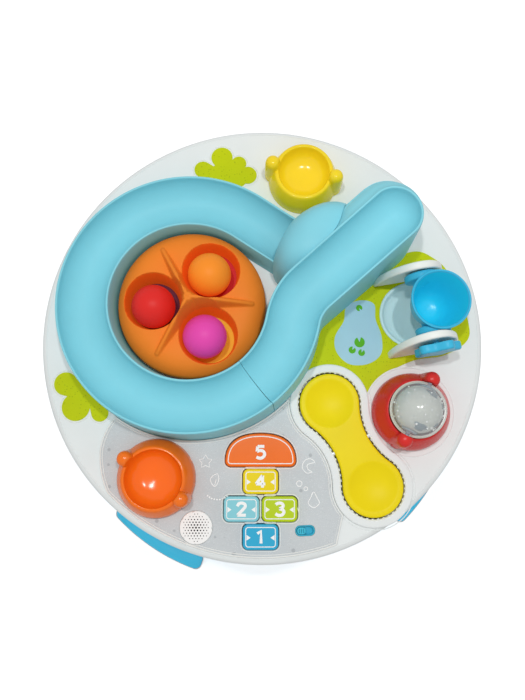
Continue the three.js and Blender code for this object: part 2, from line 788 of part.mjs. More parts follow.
// Rattle: a clear ball with a bright drum, on an axle between the two ears of its cup
{
  const group = standing(places.rattle);
  const level = (geometry) => geometry.rotateY(Math.PI / 2).translate(0, 0, rattleAxleHeight);
  const room = solid(ball(rattleRadius + runningGap * 2, domeSides / 2 + 1)
    .translate(0, 0, rattleAxleHeight));
  const axleHalf = rattleEarReach + earRadius / 2;
  const bore = solid(level(rod(rattleAxleRadius + fitGap, -axleHalf - fitGap, axleHalf + fitGap)));
  const cup = earedBowl({
    base: bowlBaseRadius, rim: bowlRimRadius - channelWall, low: fitGap, height: rattleRimHeight - fitGap,
    earTop: rattleEarTop, reach: rattleEarReach,
  }, room);
  piece(group, 'rattle_cup', cup.subtract(bore), plastic(0xca3329));
  const boreHalf = rattleRadius + overrun;
  const axleBore = solid(level(rod(rattleAxleRadius + fitGap, -boreHalf, boreHalf)));
  const shell = solid(ball(rattleRadius, middleSides).translate(0, 0, rattleAxleHeight))
    .subtract(solid(ball(rattleRadius - rattleWall, smallSides).translate(0, 0, rattleAxleHeight)))
    .subtract(axleBore);
  const clear = new THREE.MeshStandardMaterial({
    color: 0xeef3f4, roughness: 0.05, metalness: 0, transparent: true, opacity: 0.35,
  });
  piece(group, 'rattle_ball', shell, clear);
  const half = rattleCoreLength / 2;
  const drum = turned([[0, -half], [rattleCoreRadius / 2, -half], [rattleCoreRadius, -half / 3],
    [rattleCoreRadius, half / 3], [rattleCoreRadius / 2, half], [0, half]], smallSides);
  piece(group, 'rattle_core', solid(level(drum)).subtract(axleBore), plastic(0xd5d8da, 0.15, 0.9));
  piece(group, 'rattle_axle', level(rod(rattleAxleRadius, -axleHalf, axleHalf)), plastic(0xc9ccce, 0.3, 0.8));
}

// Sorter: a turning dome with three tapered holes over a fixed base with three coloured pads
const holePlaces = [0, 1, 2].map((i) => {
  const angle = (sorterHoleAngle + i * 120) * degree;
  return { x: sorterHoleRing * Math.cos(angle), y: sorterHoleRing * Math.sin(angle), angle };
});
const padTop = fitGap + sorterBaseThickness + fitGap + sorterPadThickness;
{
  const group = standing(places.sorter);
  const pinHole = (radius) => solid(rod(radius, -trayDepth, sorterHeight / 2 + overrun));
  const base = solid(rod(sorterRadius - sorterWall, fitGap, fitGap + sorterBaseThickness, domeSides))
    .subtract(pinHole(sorterPinRadius + fitGap));
  piece(group, 'sorter_base', base, plastic(0xe8742a));
  const padColors = [0xc4272c, 0x7a3b8c, 0xf0cf2a];
  holePlaces.forEach((at, i) => {
    const pad = rod(sorterPadRadius, padTop - sorterPadThickness, padTop, middleSides);
    piece(group, `sorter_pad_${i + 1}`, pad.translate(at.x, at.y, 0), plastic(padColors[i]));
  });

  const low = padTop + runningGap;
  const domeShares = [[0.985, 0], [1, 0.32], [0.97, 0.62], [0.84, 0.89], [0.6, 0.985]];
  const hollowShares = [[0.99, 0], [0.97, 0.6], [0.8, 0.92]];
  const dome = (shares, inset, foot) => [[0, foot], ...shares.map(([out, up]) =>
    [out * (sorterRadius - inset), foot + up * (sorterHeight - inset - foot)]), [0, sorterHeight - inset]];
  const frustum = (bottom, topRadius, from, to) =>
    turned([[0, from], [bottom, from], [topRadius, to], [0, to]]);
  let carousel = solid(turned(dome(domeShares, 0, low), domeSides));
  let hollow = solid(turned(dome(hollowShares, sorterWall, low - overrun), domeSides))
    .subtract(solid(rod(sorterHubRadius, low - overrun * 2, sorterHeight)));
  const bores = [];
  for (const at of holePlaces) {
    const outside = frustum(sorterHoleBottom + sorterWall, sorterHoleTop + sorterWall, low - overrun * 2,
      sorterHeight).translate(at.x, at.y, 0);
    hollow = hollow.subtract(solid(outside));
    const slope = (sorterHoleTop - sorterHoleBottom) / (sorterHeight - low);
    const above = sorterHeight + sorterFinHeight + overrun;
    const boreTop = sorterHoleTop + slope * (above - sorterHeight) / 2;
    const bore = frustum(sorterHoleBottom - slope * overrun, boreTop, low - overrun, above);
    bores.push(solid(bore.translate(at.x, at.y, 0)));
  }
  const finShares = [[0, 1], [0.12, 0.95], [0.36, 0.66], [0.66, 0.3], [0.93, 0.02], [1, -0.2]];
  const foot = sorterHeight - sorterWall;
  for (let i = 0; i < 3; i += 1) {
    const side = new THREE.Shape();
    side.moveTo(0, foot);
    for (const [out, up] of finShares.slice().reverse()) {
      side.lineTo(out * sorterFinReach, sorterHeight + up * sorterFinHeight);
    }
    const fin = slab(side, -sorterFinThickness / 2, sorterFinThickness / 2).rotateX(Math.PI / 2)
      .rotateZ((sorterHoleAngle + 60 + 120 * i) * degree);
    carousel = carousel.add(solid(fin));
  }
  const hubTop = sorterHeight + sorterFinHeight;
  const hub = turned([[0, foot], [sorterHubRadius, foot], [sorterHubRadius * 0.45, hubTop], [0, hubTop]],
    smallSides);
  carousel = carousel.add(solid(hub)).subtract(hollow);
  for (const bore of bores) carousel = carousel.subtract(bore);
  carousel = carousel.subtract(pinHole(sorterPinRadius + fitGap));
  piece(group, 'sorter_carousel', carousel, plastic(0xe8822d));

  const headTop = -plateThickness - fitGap;
  const pinTop = sorterHeight / 2 + overrun - runningGap;
  const pin = turned([[0, headTop - sorterBaseThickness], [sorterPinHead, headTop - sorterBaseThickness],
    [sorterPinHead, headTop], [sorterPinRadius, headTop], [sorterPinRadius, pinTop], [0, pinTop]],
  smallSides);
  piece(group, 'sorter_pin', pin, plastic(0xc9ccce, 0.3, 0.8));

  const ballColors = { ball_orange: 0xf99940, ball_red: 0xdf3933, ball_pink: 0xde50aa };
  Object.entries(ballColors).forEach(([name, color], i) => {
    const at = holePlaces[i];
    const mesh = piece(group, name, ball(ballRadius, smallSides), plastic(color, 0.35));
    mesh.position.set(at.x, at.y, padTop + fitGap + ballRadius);
  });
}

// Button outlines: four rounded oblongs in a stack, and the half round one above them
function oblong(grow) {
  return roundedRectangle(buttonWidth + grow * 2, buttonDepth + grow * 2, buttonCorner + grow);
}

function halfRound(grow) {
  const half = domeButtonWidth / 2 + grow;
  const rise = domeButtonHeight + grow * 2;
  const corner = buttonCorner + grow;
  const shape = new THREE.Shape();
  shape.moveTo(-half + corner, -grow);
  shape.lineTo(half - corner, -grow);
  shape.absarc(half - corner, corner - grow, corner, -Math.PI / 2, 0);
  shape.bezierCurveTo(half, rise * 0.75, half * 0.6, rise - grow, 0, rise - grow);
  shape.bezierCurveTo(-half * 0.6, rise - grow, -half, rise * 0.75, -half, corner - grow);
  shape.absarc(-half + corner, corner - grow, corner, Math.PI, Math.PI * 1.5);
  return shape;
}

const domeShift = buttonPitchY - buttonDepth / 2;
const buttons = [
  { name: 'button_1', outline: oblong, x: 0, y: -2 * buttonPitchY, color: 0x32a5d2 },
  { name: 'button_2', outline: oblong, x: -buttonPitchX / 2, y: -buttonPitchY, color: 0x73c8d7 },
  { name: 'button_3', outline: oblong, x: buttonPitchX / 2, y: -buttonPitchY, color: 0xb4cd0f },
  { name: 'button_4', outline: oblong, x: 0, y: 0, color: 0xebcd14 },
  { name: 'button_5', outline: halfRound, x: 0, y: domeShift, color: 0xee6923 },
];
const capTop = panelTop + buttonHeight;
const flangeTop = -plateThickness - fitGap;
const matTop = flangeTop - buttonFlangeThickness - buttonTravel - fitGap;
const boardTop = matTop - matThickness - fitGap;
{
  const group = standing(places.buttons);
  for (const { name, outline, x, y, color } of buttons) {
    const cap = softSlab(outline(0), flangeTop - buttonFlangeThickness / 2, capTop, buttonEdge, 2)
      .add(solid(slab(outline(buttonFlange), flangeTop - buttonFlangeThickness, flangeTop, 2)));
    piece(group, name, cap, plastic(color)).position.set(x, y, 0);
  }
  const sheetWidth = buttonPitchX + buttonWidth;
  const sheetDepth = 2 * buttonPitchY + buttonDepth / 2 + domeShift + domeButtonHeight;
  const middle = (domeShift + domeButtonHeight - 2 * buttonPitchY - buttonDepth / 2) / 2;
  const sheet = (low, high) => slab(roundedRectangle(sheetWidth, sheetDepth, buttonCorner), low, high, 4)
    .translate(0, middle, 0);
  piece(group, 'button_mat', sheet(matTop - matThickness, matTop), plastic(0x3c3f42, 0.8));
  piece(group, 'circuit_board', sheet(boardTop - boardThickness, boardTop), plastic(0x1f6b3a, 0.5));
}

// Slide switch: a shallow seat and the slider that runs in it
{
  const group = standing(places.powerSwitch);
  const outline = (inset) =>
    roundedRectangle(switchLength - inset * 2, switchWidth - inset * 2, switchCorner - inset);
  const seat = solid(slab(outline(0), -switchDepth, panelTop, 4))
    .subtract(solid(slab(outline(runningGap * 2), runningGap * 2 - switchDepth, capTop, 4)));
  piece(group, 'switch_seat', seat, plastic(0x2c8fb0));
  const room = switchLength - runningGap * 6;
  const slider = slab(roundedRectangle(room - switchTravel, switchWidth - runningGap * 6, switchCorner / 2),
    runningGap * 3 - switchDepth, switchRise, 3);
  piece(group, 'power_switch', slider, plastic(0x34a0bd)).position.x = -switchTravel / 2;
}

// Speaker under its grille
{
  const group = standing(places.grille);
  const rim = fitGap + grilleRise;
  piece(group, 'speaker_grille', turned([[0, fitGap], [grilleRadius, fitGap], [grilleRadius, rim - fitGap],
    [grilleRadius - fitGap * 3, rim], [0, rim + fitGap]], middleSides), plastic(0xf0f2f2));
  const back = flangeTop - speakerDepth;
  piece(group, 'speaker_driver', turned([[0, back], [speakerRadius / 2, back],
    [speakerRadius / 2, back + speakerDepth / 2], [speakerRadius, flangeTop - boxWall],
    [speakerRadius, flangeTop], [0, flangeTop]], smallSides), plastic(0x2b2b2d, 0.6));
}

// Music panel: the plate between the ring, the rim, the seesaw's bezel and a free left edge
function fitHole(shape, segments = 8) {
  return solid(slab(shape, -plateThickness - overrun, capTop + overrun, segments));
}

function panelOpenings() {
  const cuts = [];
  for (const { outline, x, y } of buttons) {
    cuts.push(solid(slab(outline(buttonClearance), -plateThickness - overrun, capTop + overrun, 2)
      .translate(places.buttons.x + x, places.buttons.y + y, 0)));
  }
  const seat = slab(roundedRectangle(switchLength + fitGap * 2, switchWidth + fitGap * 2, switchCorner),
    -plateThickness - overrun, capTop + overrun, 4);
  cuts.push(solid(carried(seat, places.powerSwitch)));
  return cuts;
}

const seesawCut = (grow) => solid(carried(bone(grow, -trayDepth, rampTopHeight), places.seesaw));
{
  const leftEdgeShares = [[-0.6, -0.32], [-0.672, -0.39], [-0.713, -0.5], [-0.702, -0.62], [-0.66, -0.72],
    [-0.6, -0.79]];
  const frontShares = [[-0.55, -1], [0.3, -1], [0.35, -0.79]];
  const lobe = seesawSpan / 2;
  const turn = places.seesaw.turn * degree;
  const shape = new THREE.Shape();
  const edge = leftEdgeShares.map(([x, y]) => new THREE.Vector2(x * tableRadius, y * tableRadius));
  shape.moveTo(edge[0].x, edge[0].y);
  shape.splineThru(edge.slice(1));
  for (const [x, y] of frontShares) shape.lineTo(x * tableRadius, y * tableRadius);
  shape.lineTo(places.seesaw.x + lobe * Math.cos(turn), places.seesaw.y + lobe * Math.sin(turn));
  shape.lineTo(places.seesaw.x - lobe * Math.cos(turn), places.seesaw.y - lobe * Math.sin(turn));
  shape.lineTo(ringCentre.x, ringCentre.y);
  let panel = solid(slab(shape, fitGap, panelTop, 5)).intersect(inRim(shoulderWidth + fitGap));
  panel = panel.subtract(fitHole(disc(ringFoot + fitGap, ringCentre.x, ringCentre.y), roundSides / 2))
    .subtract(upperCutter).subtract(seesawCut(bezelWidth + fitGap));
  for (const cut of panelOpenings()) panel = panel.subtract(cut);
  panel = panel.subtract(fitHole(disc(grilleRadius + fitGap, places.grille.x, places.grille.y), 10));
  const parts = panel.decompose().sort((one, other) => other.volume() - one.volume());
  piece(top, 'music_panel', parts[0], plastic(0xcbd0d2, 0.35));
}

// Inlays: thin sheets on the play surface, cut back from what stands on it
function inlay(shape, segments = 6) {
  const sheet = solid(slab(shape, fitGap, fitGap + inlayThickness, segments));
  return sheet.intersect(inRim(shoulderWidth + fitGap));
}

function splineShape(shares) {
  const points = shares.map(([x, y]) => new THREE.Vector2(x * tableRadius, y * tableRadius));
  const shape = new THREE.Shape();
  const closed = new THREE.CatmullRomCurve3(points.map((p) => new THREE.Vector3(p.x, p.y, 0)), true);
  closed.getPoints(points.length * 3).slice(0, -1).forEach((p, i) => {
    if (i === 0) shape.moveTo(p.x, p.y);
    else shape.lineTo(p.x, p.y);
  });
  return shape;
}

const largest = (body) => body.decompose().sort((one, other) => other.volume() - one.volume())[0];
{
  const pondShares = [[0.45, 0.168], [0.51, 0.15], [0.515, 0.08], [0.54, 0], [0.535, -0.08], [0.475, -0.125],
    [0.39, -0.125], [0.335, -0.07], [0.33, 0], [0.37, 0.07], [0.385, 0.14]];
  const grassShares = [[0.65, 0.385], [0.8, 0.36], [0.885, 0.24], [0.935, 0.07], [0.925, -0.02],
    [0.82, -0.085], [0.68, -0.11], [0.52, -0.19], [0.468, -0.275], [0.4, -0.2], [0.22, -0.16], [0.12, -0.12],
    [0.3, 0.15]];
  const pond = splineShape(pondShares);
  let grass = inlay(splineShape(grassShares)).subtract(upperCutter).subtract(lowerCutter);
  grass = grass.subtract(seesawCut(bezelWidth + fitGap));
  const clear = bowlBaseRadius + earRadius + fitGap;
  grass = grass.subtract(fitHole(disc(clear, places.rattle.x, places.rattle.y), 16));
  grass = grass.subtract(fitHole(disc(wellRadius + fitGap, places.swing.x, places.swing.y), 16));
  for (const side of [-1, 1]) {
    const print = roundedRectangle(finLength + fitGap * 4, finThickness + fitGap * 4, fitGap * 2);
    const footprint = slab(print, -overrun, capTop, 2).translate(0, side * finSpread / 2, 0);
    grass = grass.subtract(solid(carried(footprint, places.swing)));
  }
  const hole = new THREE.ExtrudeGeometry(pond, {
    depth: overrun * 2, bevelEnabled: true, bevelThickness: fitGap, bevelSize: fitGap, bevelSegments: 1,
  });
  grass = grass.subtract(solid(hole.translate(0, 0, -overrun)));
  piece(top, 'grass_inlay', largest(grass), plastic(0xc6d013, 0.6));
  piece(top, 'pond_inlay', largest(inlay(pond).subtract(upperCutter)), plastic(0xa6d0de, 0.5));
}

// Bushes: overlapping round lobes, each row x, y and radius as shares of the table's radius
const rearBushShares = [[-0.19, 0.86, 0.05], [-0.279, 0.8, 0.04], [-0.11, 0.83, 0.035],
  [-0.068, 0.772, 0.042], [-0.18, 0.765, 0.07], [-0.12, 0.76, 0.05]];
const leftBushShares = [[-0.878, -0.215, 0.052], [-0.829, -0.318, 0.062], [-0.721, -0.345, 0.038],
  [-0.77, -0.25, 0.075], [-0.7, -0.28, 0.05]];
for (const [name, lobes] of [['bush_inlay_rear', rearBushShares], ['bush_inlay_left', leftBushShares]]) {
  const discs = lobes.map(([x, y, radius]) =>
    inlay(disc(radius * tableRadius, x * tableRadius, y * tableRadius), 5));
  const bush = discs.reduce((sum, one) => sum.add(one)).subtract(lowerCutter).subtract(upperCutter);
  piece(top, name, largest(bush), plastic(0xc6d013, 0.6));
}

// Shell profiles. The rolled shoulder and the tray's edge are quarter ellipses.
function quarter(centreRadius, centreHeight, width, depth, steps, upward) {
  return Array.from({ length: steps + 1 }, (unused, i) => {
    const angle = Math.PI / 2 * i / steps;
    return [centreRadius + width * Math.cos(angle), centreHeight + upward * depth * Math.sin(angle)];
  });
}

{
  const flatRadius = tableRadius - shoulderWidth;
  const outside = quarter(flatRadius, -shoulderDepth, shoulderWidth, shoulderDepth, 3, 1);
  const inside = quarter(flatRadius, -shoulderDepth, shoulderWidth - plateThickness,
    shoulderDepth - plateThickness, 2, 1);
  const profile = [[0, -plateThickness], ...inside.reverse(), [tableRadius - plateThickness, -seamDepth],
    [tableRadius, -seamDepth], ...outside, [0, 0]];
  let shell = solid(turned(profile, roundSides)).subtract(seesawCut(bezelClearance + bezelWall + fitGap));
  for (const cut of panelOpenings()) shell = shell.subtract(cut);
  const holes = [
    [wellBowlRadius + fitGap, places.swing, middleSides / 2],
    [sorterPinRadius + fitGap, places.sorter, 5],
    [grilleRadius - boxWall, places.grille, 8],
  ];
  for (const [radius, at, segments] of holes) {
    shell = shell.subtract(fitHole(disc(radius, at.x, at.y), segments));
  }
  piece(top, 'top_shell', shell, plastic(0xe5e9e8));
}

const legAngles = Array.from({ length: legCount }, (unused, i) => firstLegAngle + i * 360 / legCount);
const spigotRadius = legTopRadius - spigotInset;
const boxLength = batteryLength + fitGap * 2 + boxWall * 3 + screwHeadRadius * 2;
const boxWidth = batteryPitch * batteryCount + boxWall * 2;
const boxTop = -trayDepth + doorThickness + batteryRadius * 2 + boxWall + fitGap * 3;
const screwPlace = boxLength / 2 - boxWall - screwHeadRadius;
{
  const edge = tableRadius - fitGap * 2;
  const rise = trayDepth - seamDepth - fitGap;
  const bottom = -seamDepth - fitGap;
  const outside = quarter(edge - trayInset, bottom, trayInset, rise, 3, -1).reverse();
  const inside = quarter(edge - trayInset, bottom, trayInset - plateThickness, rise - trayFloor, 2, -1);
  const floor = trayFloor - trayDepth;
  let tray = solid(turned([[0, -trayDepth], ...outside, ...inside, [0, floor]], roundSides));
  const slot = (grow) => roundedRectangle(spigotThickness + grow * 2, spigotWidth + grow * 2, boxWall + grow);
  for (const angle of legAngles) {
    const wall = slab(slot(fitGap + socketWall), floor - trayFloor / 2, spigotLength - trayDepth, 1);
    const hole = slab(slot(fitGap), -trayDepth - overrun, spigotLength, 1);
    const at = (geometry) => solid(geometry.translate(spigotRadius, 0, 0).rotateZ(angle * degree));
    tray = tray.add(at(wall)).subtract(at(hole));
  }
  const postHeight = boardTop - boardThickness - fitGap;
  const postShares = [[-0.75, 0], [0.75, 0], [-0.75, -2.2], [0.75, -2.2]];
  for (const [x, y] of postShares) {
    const post = rod(screwHeadRadius, floor - trayFloor / 2, postHeight, fewSides)
      .translate(places.buttons.x + x * buttonPitchX, places.buttons.y + y * buttonPitchY, 0);
    tray = tray.add(solid(post));
  }
  const doorHole = slab(roundedRectangle(boxLength + fitGap * 2, boxWidth + fitGap * 2, boxWall),
    -trayDepth - overrun, floor + overrun, 3);
  tray = tray.subtract(solid(carried(doorHole, places.batteryBox)));
  piece(top, 'bottom_shell', tray, plastic(0xe0e4e3));
}

// Battery box, its cells, and the door with its screw
{
  const group = standing(places.batteryBox);
  const doorTop = doorThickness - trayDepth;
  const low = doorTop + fitGap;
  const shift = -boxLength / 2 + boxWall + fitGap + batteryLength / 2;
  const room = roundedRectangle(batteryLength + fitGap * 2, boxWidth - boxWall * 2, fitGap);
  const inside = slab(room, low - overrun, boxTop - boxWall, 2).translate(shift, 0, 0);
  const shaftHole = (radius, from, to) => solid(rod(radius, from, to, 12).translate(screwPlace, 0, 0));
  const box = solid(slab(roundedRectangle(boxLength, boxWidth, boxWall), low, boxTop, 3))
    .subtract(solid(inside))
    .subtract(shaftHole(screwRadius + fitGap, low - overrun, screwLength + fitGap - trayDepth));
  piece(group, 'battery_box', box, plastic(0xd8dcdc, 0.6));
  for (let i = 0; i < batteryCount; i += 1) {
    const nub = batteryRadius * 0.35;
    const shoulder = batteryLength / 2 - boxWall / 2;
    const end = batteryLength / 2;
    const cell = turned([[0, -end], [batteryRadius, -end], [batteryRadius, shoulder], [nub, shoulder],
      [nub, end], [0, end]], smallSides).rotateY(Math.PI / 2);
    const mesh = piece(group, `battery_${i + 1}`, cell, plastic(0x3a3d40, 0.4, 0.3));
    mesh.position.set(shift, (i - (batteryCount - 1) / 2) * batteryPitch, low + batteryRadius);
  }
  const headDepth = doorThickness / 2;
  const door = solid(slab(roundedRectangle(boxLength, boxWidth, boxWall), -trayDepth, doorTop, 3))
    .subtract(shaftHole(screwRadius + fitGap, -trayDepth - overrun, doorTop + overrun))
    .subtract(shaftHole(screwHeadRadius + fitGap, -trayDepth - overrun, headDepth - trayDepth + fitGap));
  piece(group, 'battery_door', door, plastic(0xdce0df));
  const [headTop, tip] = [headDepth - trayDepth, screwLength - trayDepth];
  const screw = turned([[0, -trayDepth], [screwHeadRadius, -trayDepth], [screwHeadRadius, headTop],
    [screwRadius, headTop], [screwRadius, tip], [0, tip]], 12);
  piece(group, 'battery_door_screw', screw.translate(screwPlace, 0, 0), plastic(0xb9bcbe, 0.3, 0.9));
}

// Leads that lie on the tray's floor, from the board's post side to the speaker and to the battery box
function lead(name, stopShares) {
  const lie = trayFloor - trayDepth + fitGap + leadRadius;
  const points = stopShares.map(([x, y, up]) =>
    new THREE.Vector3(x * tableRadius, y * tableRadius, lie + up));
  const path = new THREE.CatmullRomCurve3(points, false, 'catmullrom', 0);
  const section = disc(leadRadius);
  const geometry = new THREE.ExtrudeGeometry(section, {
    steps: 10, bevelEnabled: false, extrudePath: path, curveSegments: 3,
  });
  piece(top, name, geometry, plastic(0xb03030, 0.5));
}

const underBoard = boardTop - boardThickness - fitGap * 2 - (trayFloor - trayDepth) - leadRadius * 3;
const underSpeaker = flangeTop - speakerDepth - fitGap * 2 - (trayFloor - trayDepth) - leadRadius * 3;
const speakerLeadShares = [[-0.13, -0.8, underBoard], [-0.16, -0.81, 0], [-0.22, -0.83, 0],
  [-0.27, -0.838, underSpeaker]];
const batteryLeadShares = [[-0.08, -0.6, underBoard], [-0.08, -0.55, 0], [-0.1, -0.3, 0], [-0.2, 0, 0],
  [-0.26, 0.045, 0]];
lead('speaker_lead', speakerLeadShares);
lead('battery_lead', batteryLeadShares);

// Legs: closed panels on a cone round the table's centre, hollow from the top, with a spigot and a foot pad
function sectorRow(outer, thickness, halfAngle, corner, height) {
  const inner = outer - thickness;
  const points = [];
  const dot = (radius, angle) => points.push(new THREE.Vector3(
    radius * Math.cos(angle * degree), radius * Math.sin(angle * degree), height));
  const arc = (radius, from, to, steps) => {
    for (let i = 0; i <= steps; i += 1) dot(radius, from + (to - from) * i / steps);
  };
  const outerCut = corner / outer / degree;
  const innerCut = corner / inner / degree;
  const soft = corner * 0.3;
  arc(outer, outerCut - halfAngle, halfAngle - outerCut, 4);
  dot(outer - soft, halfAngle - outerCut * 0.3);
  dot(outer - corner, halfAngle);
  dot(inner + soft * 2, halfAngle);
  arc(inner, halfAngle - innerCut * 0.6, innerCut * 0.6 - halfAngle, 3);
  dot(inner + soft * 2, -halfAngle);
  dot(outer - corner, -halfAngle);
  dot(outer - soft, outerCut * 0.3 - halfAngle);
  return points;
}

// Closed skin over level rows
function closedRows(rows) {
  const outline = (row) => row.map((point) => new THREE.Vector2(point.x, point.y));
  return skin([{
    rows, loop: true, firstOutline: outline(rows[0]), lastOutline: outline(rows[rows.length - 1]),
  }]);
}

const legTop = -trayDepth - fitGap;
const legBottom = footPadHeight + fitGap - surfaceHeight;
function legSkin(inset, from, to, steps) {
  const rows = [];
  for (let i = 0; i <= steps; i += 1) {
    const height = from + (to - from) * i / steps;
    const share = (legTop - height) / (legTop - legBottom);
    const outer = legTopRadius + (footRadius - legTopRadius) * share - legBow * Math.sin(Math.PI * share);
    const thickness = legTopThickness + (legFootThickness - legTopThickness) * share;
    const angle = legHalfAngle - inset / outer / degree;
    rows.push(sectorRow(outer - inset, thickness - inset * 2, angle, legCorner - inset / 2, height));
  }
  return closedRows(rows);
}

{
  const outer = solid(legSkin(0, legBottom, legTop, 3));
  const hollow = solid(legSkin(legWall, legBottom + legWall, legTop - legWall, 2));
  const spigotShape = roundedRectangle(spigotThickness, spigotWidth, boxWall);
  const spigot = slab(spigotShape, legTop - legWall / 2, spigotLength - trayDepth, 1)
    .translate(spigotRadius, 0, 0);
  const vent = slab(roundedRectangle(spigotThickness - legWall * 2, spigotWidth - legWall * 2, boxWall / 2),
    legTop - legWall - overrun, spigotLength, 1).translate(spigotRadius, 0, 0);
  const leg = geometryOf(outer.subtract(hollow).add(solid(spigot)).subtract(solid(vent)));
  const padRows = [-surfaceHeight, legBottom - fitGap].map((height) =>
    sectorRow(footRadius + footPadLip, legFootThickness + footPadLip * 2,
      legHalfAngle + footPadLip / footRadius / degree, legCorner, height));
  const pad = closedRows(padRows);
  legAngles.forEach((angle, i) => {
    const group = new THREE.Group();
    group.rotation.z = angle * degree;
    top.add(group);
    piece(group, `leg_${i + 1}`, leg, plastic(0x3caad7));
    piece(group, `foot_pad_${i + 1}`, pad, plastic(0xd5d8d9, 0.8));
  });
}

export default table;
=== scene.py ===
import math

import bmesh
import bpy
import numpy as np
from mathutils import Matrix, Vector
from mathutils.geometry import delaunay_2d_cdt


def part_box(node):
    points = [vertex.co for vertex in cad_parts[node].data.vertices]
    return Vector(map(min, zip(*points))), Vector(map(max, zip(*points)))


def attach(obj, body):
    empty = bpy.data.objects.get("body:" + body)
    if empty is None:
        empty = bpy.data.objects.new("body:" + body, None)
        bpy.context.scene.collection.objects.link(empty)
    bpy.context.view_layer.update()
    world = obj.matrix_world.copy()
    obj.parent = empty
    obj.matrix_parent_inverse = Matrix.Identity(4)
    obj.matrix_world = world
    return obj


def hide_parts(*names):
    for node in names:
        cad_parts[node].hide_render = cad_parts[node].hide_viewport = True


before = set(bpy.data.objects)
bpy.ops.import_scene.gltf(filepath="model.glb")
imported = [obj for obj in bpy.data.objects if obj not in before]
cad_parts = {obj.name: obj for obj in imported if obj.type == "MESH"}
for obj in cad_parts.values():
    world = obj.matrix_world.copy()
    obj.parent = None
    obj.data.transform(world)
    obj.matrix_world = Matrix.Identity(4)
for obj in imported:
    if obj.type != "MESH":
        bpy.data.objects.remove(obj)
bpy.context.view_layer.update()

surfaceHeight = 395.0   # millimetres, as every length below unless it says metres
mm = 0.001
gap = 0.3
quarterTurn, halfTurn, fullTurn = math.pi / 2, math.pi, 2 * math.pi

table = {"radius": 250.0, "shoulder": 8.0}
table["flat"] = table["radius"] - table["shoulder"] - gap
ringMiddle = (-78.0, 32.5)
ring = {"radius": 115.6, "foot": 148.4}
# x, y and the turn in degrees
places = {
    "sorter": (*ringMiddle, 0.0),
    "yellowBowl": (47.46, 185.0, -13.0),
    "orangeBowl": (-114.75, -157.0, -35.2),
    "rattle": (163.75, -85.0, 63.9),
    "swing": (171.49, 25.0, 10.0),
    "seesaw": (97.6, -121.1, -63.1),
    "grille": (-71.25, -209.5, 0.0),
    "powerSwitch": (46.3, -212.7, 2.6),
    "buttons": (-1.7, -160.6, 0.0),
}


# Outlines, anticlockwise

def polar(radius, degrees, x=0.0, y=0.0):
    a = math.radians(degrees)
    return x + radius * math.cos(a), y + radius * math.sin(a)


def carried(points, at):
    c, s = polar(1, at[2])
    p = np.array(points, float)
    p[:, 0], p[:, 1] = at[0] + c * p[:, 0] - s * p[:, 1], at[1] + s * p[:, 0] + c * p[:, 1]
    return p


def raised(loop, height):
    return [(p[0], p[1], height) for p in loop]


def arc(x, y, radius, start, end, count, tall=None):
    # of a circle, or of an ellipse whose other radius is tall
    tall = tall or radius
    return [(x + radius * math.cos(a), y + tall * math.sin(a)) for a in np.linspace(start, end, count + 1)]


def circleLoop(radius, count, x=0.0, y=0.0):
    return arc(x, y, radius, 0, fullTurn, count)[:-1]


def oblongLoop(width, depth, corner, steps=8):
    x, y = width / 2 - corner, depth / 2 - corner
    loop = []
    for i, (cx, cy) in enumerate(((x, y), (-x, y), (-x, -y), (x, -y))):
        loop += arc(cx, cy, corner, i * quarterTurn, (i + 1) * quarterTurn, steps)
    return loop


def inset(loop, amount):
    # moves an outline into what lies on its left hand
    def unit(v):
        return v / np.maximum(np.linalg.norm(v, axis=1), 1e-9)[:, None]
    p = np.asarray(loop, float)
    a = unit(p - np.roll(p, 1, 0))
    t = unit(a + unit(np.roll(p, -1, 0) - p))
    lean = np.maximum((t * a).sum(1), 0.5)
    return p + np.column_stack((-t[:, 1], t[:, 0])) * (amount / lean)[:, None]


def isInside(loop, x, y):
    p = np.asarray(loop, float)
    q = np.roll(p, -1, 0)
    x, y = np.asarray(x)[:, None], np.asarray(y)[:, None]
    crosses = (p[:, 1] > y) != (q[:, 1] > y)
    slope = (q[:, 0] - p[:, 0]) / np.where(q[:, 1] == p[:, 1], 1e-12, q[:, 1] - p[:, 1])
    return (crosses & (x < p[:, 0] + (y - p[:, 1]) * slope)).sum(1) % 2 == 1


def within(x, y, outline, *holes):
    held = isInside(outline, x, y)
    for hole in holes:
        held &= ~isInside(hole, x, y)
    return held


def fromRing(x, y):
    return np.hypot(x - ringMiddle[0], y - ringMiddle[1])


def smoothLoop(points, per=8, closed=True):
    p = np.asarray(points, float)
    n = len(p)
    out = []
    for i in range(n if closed else n - 1):
        k = [p[(i + j) % n if closed else min(max(i + j, 0), n - 1)] for j in (-1, 0, 1, 2)]
        for t in np.arange(per) / per:
            out.append(0.5 * (2 * k[1] + (k[2] - k[0]) * t + (2 * k[0] - 5 * k[1] + 4 * k[2] - k[3]) * t * t
                              + (3 * k[1] - k[0] - 3 * k[2] + k[3]) * t ** 3))
    return [tuple(q) for q in (out if closed else out + [p[-1]])]


def shareLine(shares, radius, low, high, per=8):
    # a profile from its shares of a radius and of a height
    return smoothLoop([(out * radius, low + up * (high - low)) for out, up in shares], per, False)


def along(line, r, turned=False):
    # the height of a profile at a radius, or its radius at a height
    out, up = zip(*line)
    return np.interp(r, up, out) if turned else np.interp(r, out, up)


def smoothStep(x, low, high):
    t = np.clip((np.asarray(x, float) - low) / (high - low), 0, 1)
    return t * t * (3 - 2 * t)


def softMin(a, b, soft):
    mix = np.clip(0.5 + 0.5 * (a - b) / soft, 0, 1)
    return a * (1 - mix) + b * mix - soft * mix * (1 - mix)


def softMax(a, b, soft):
    return -softMin(-a, -b, soft)


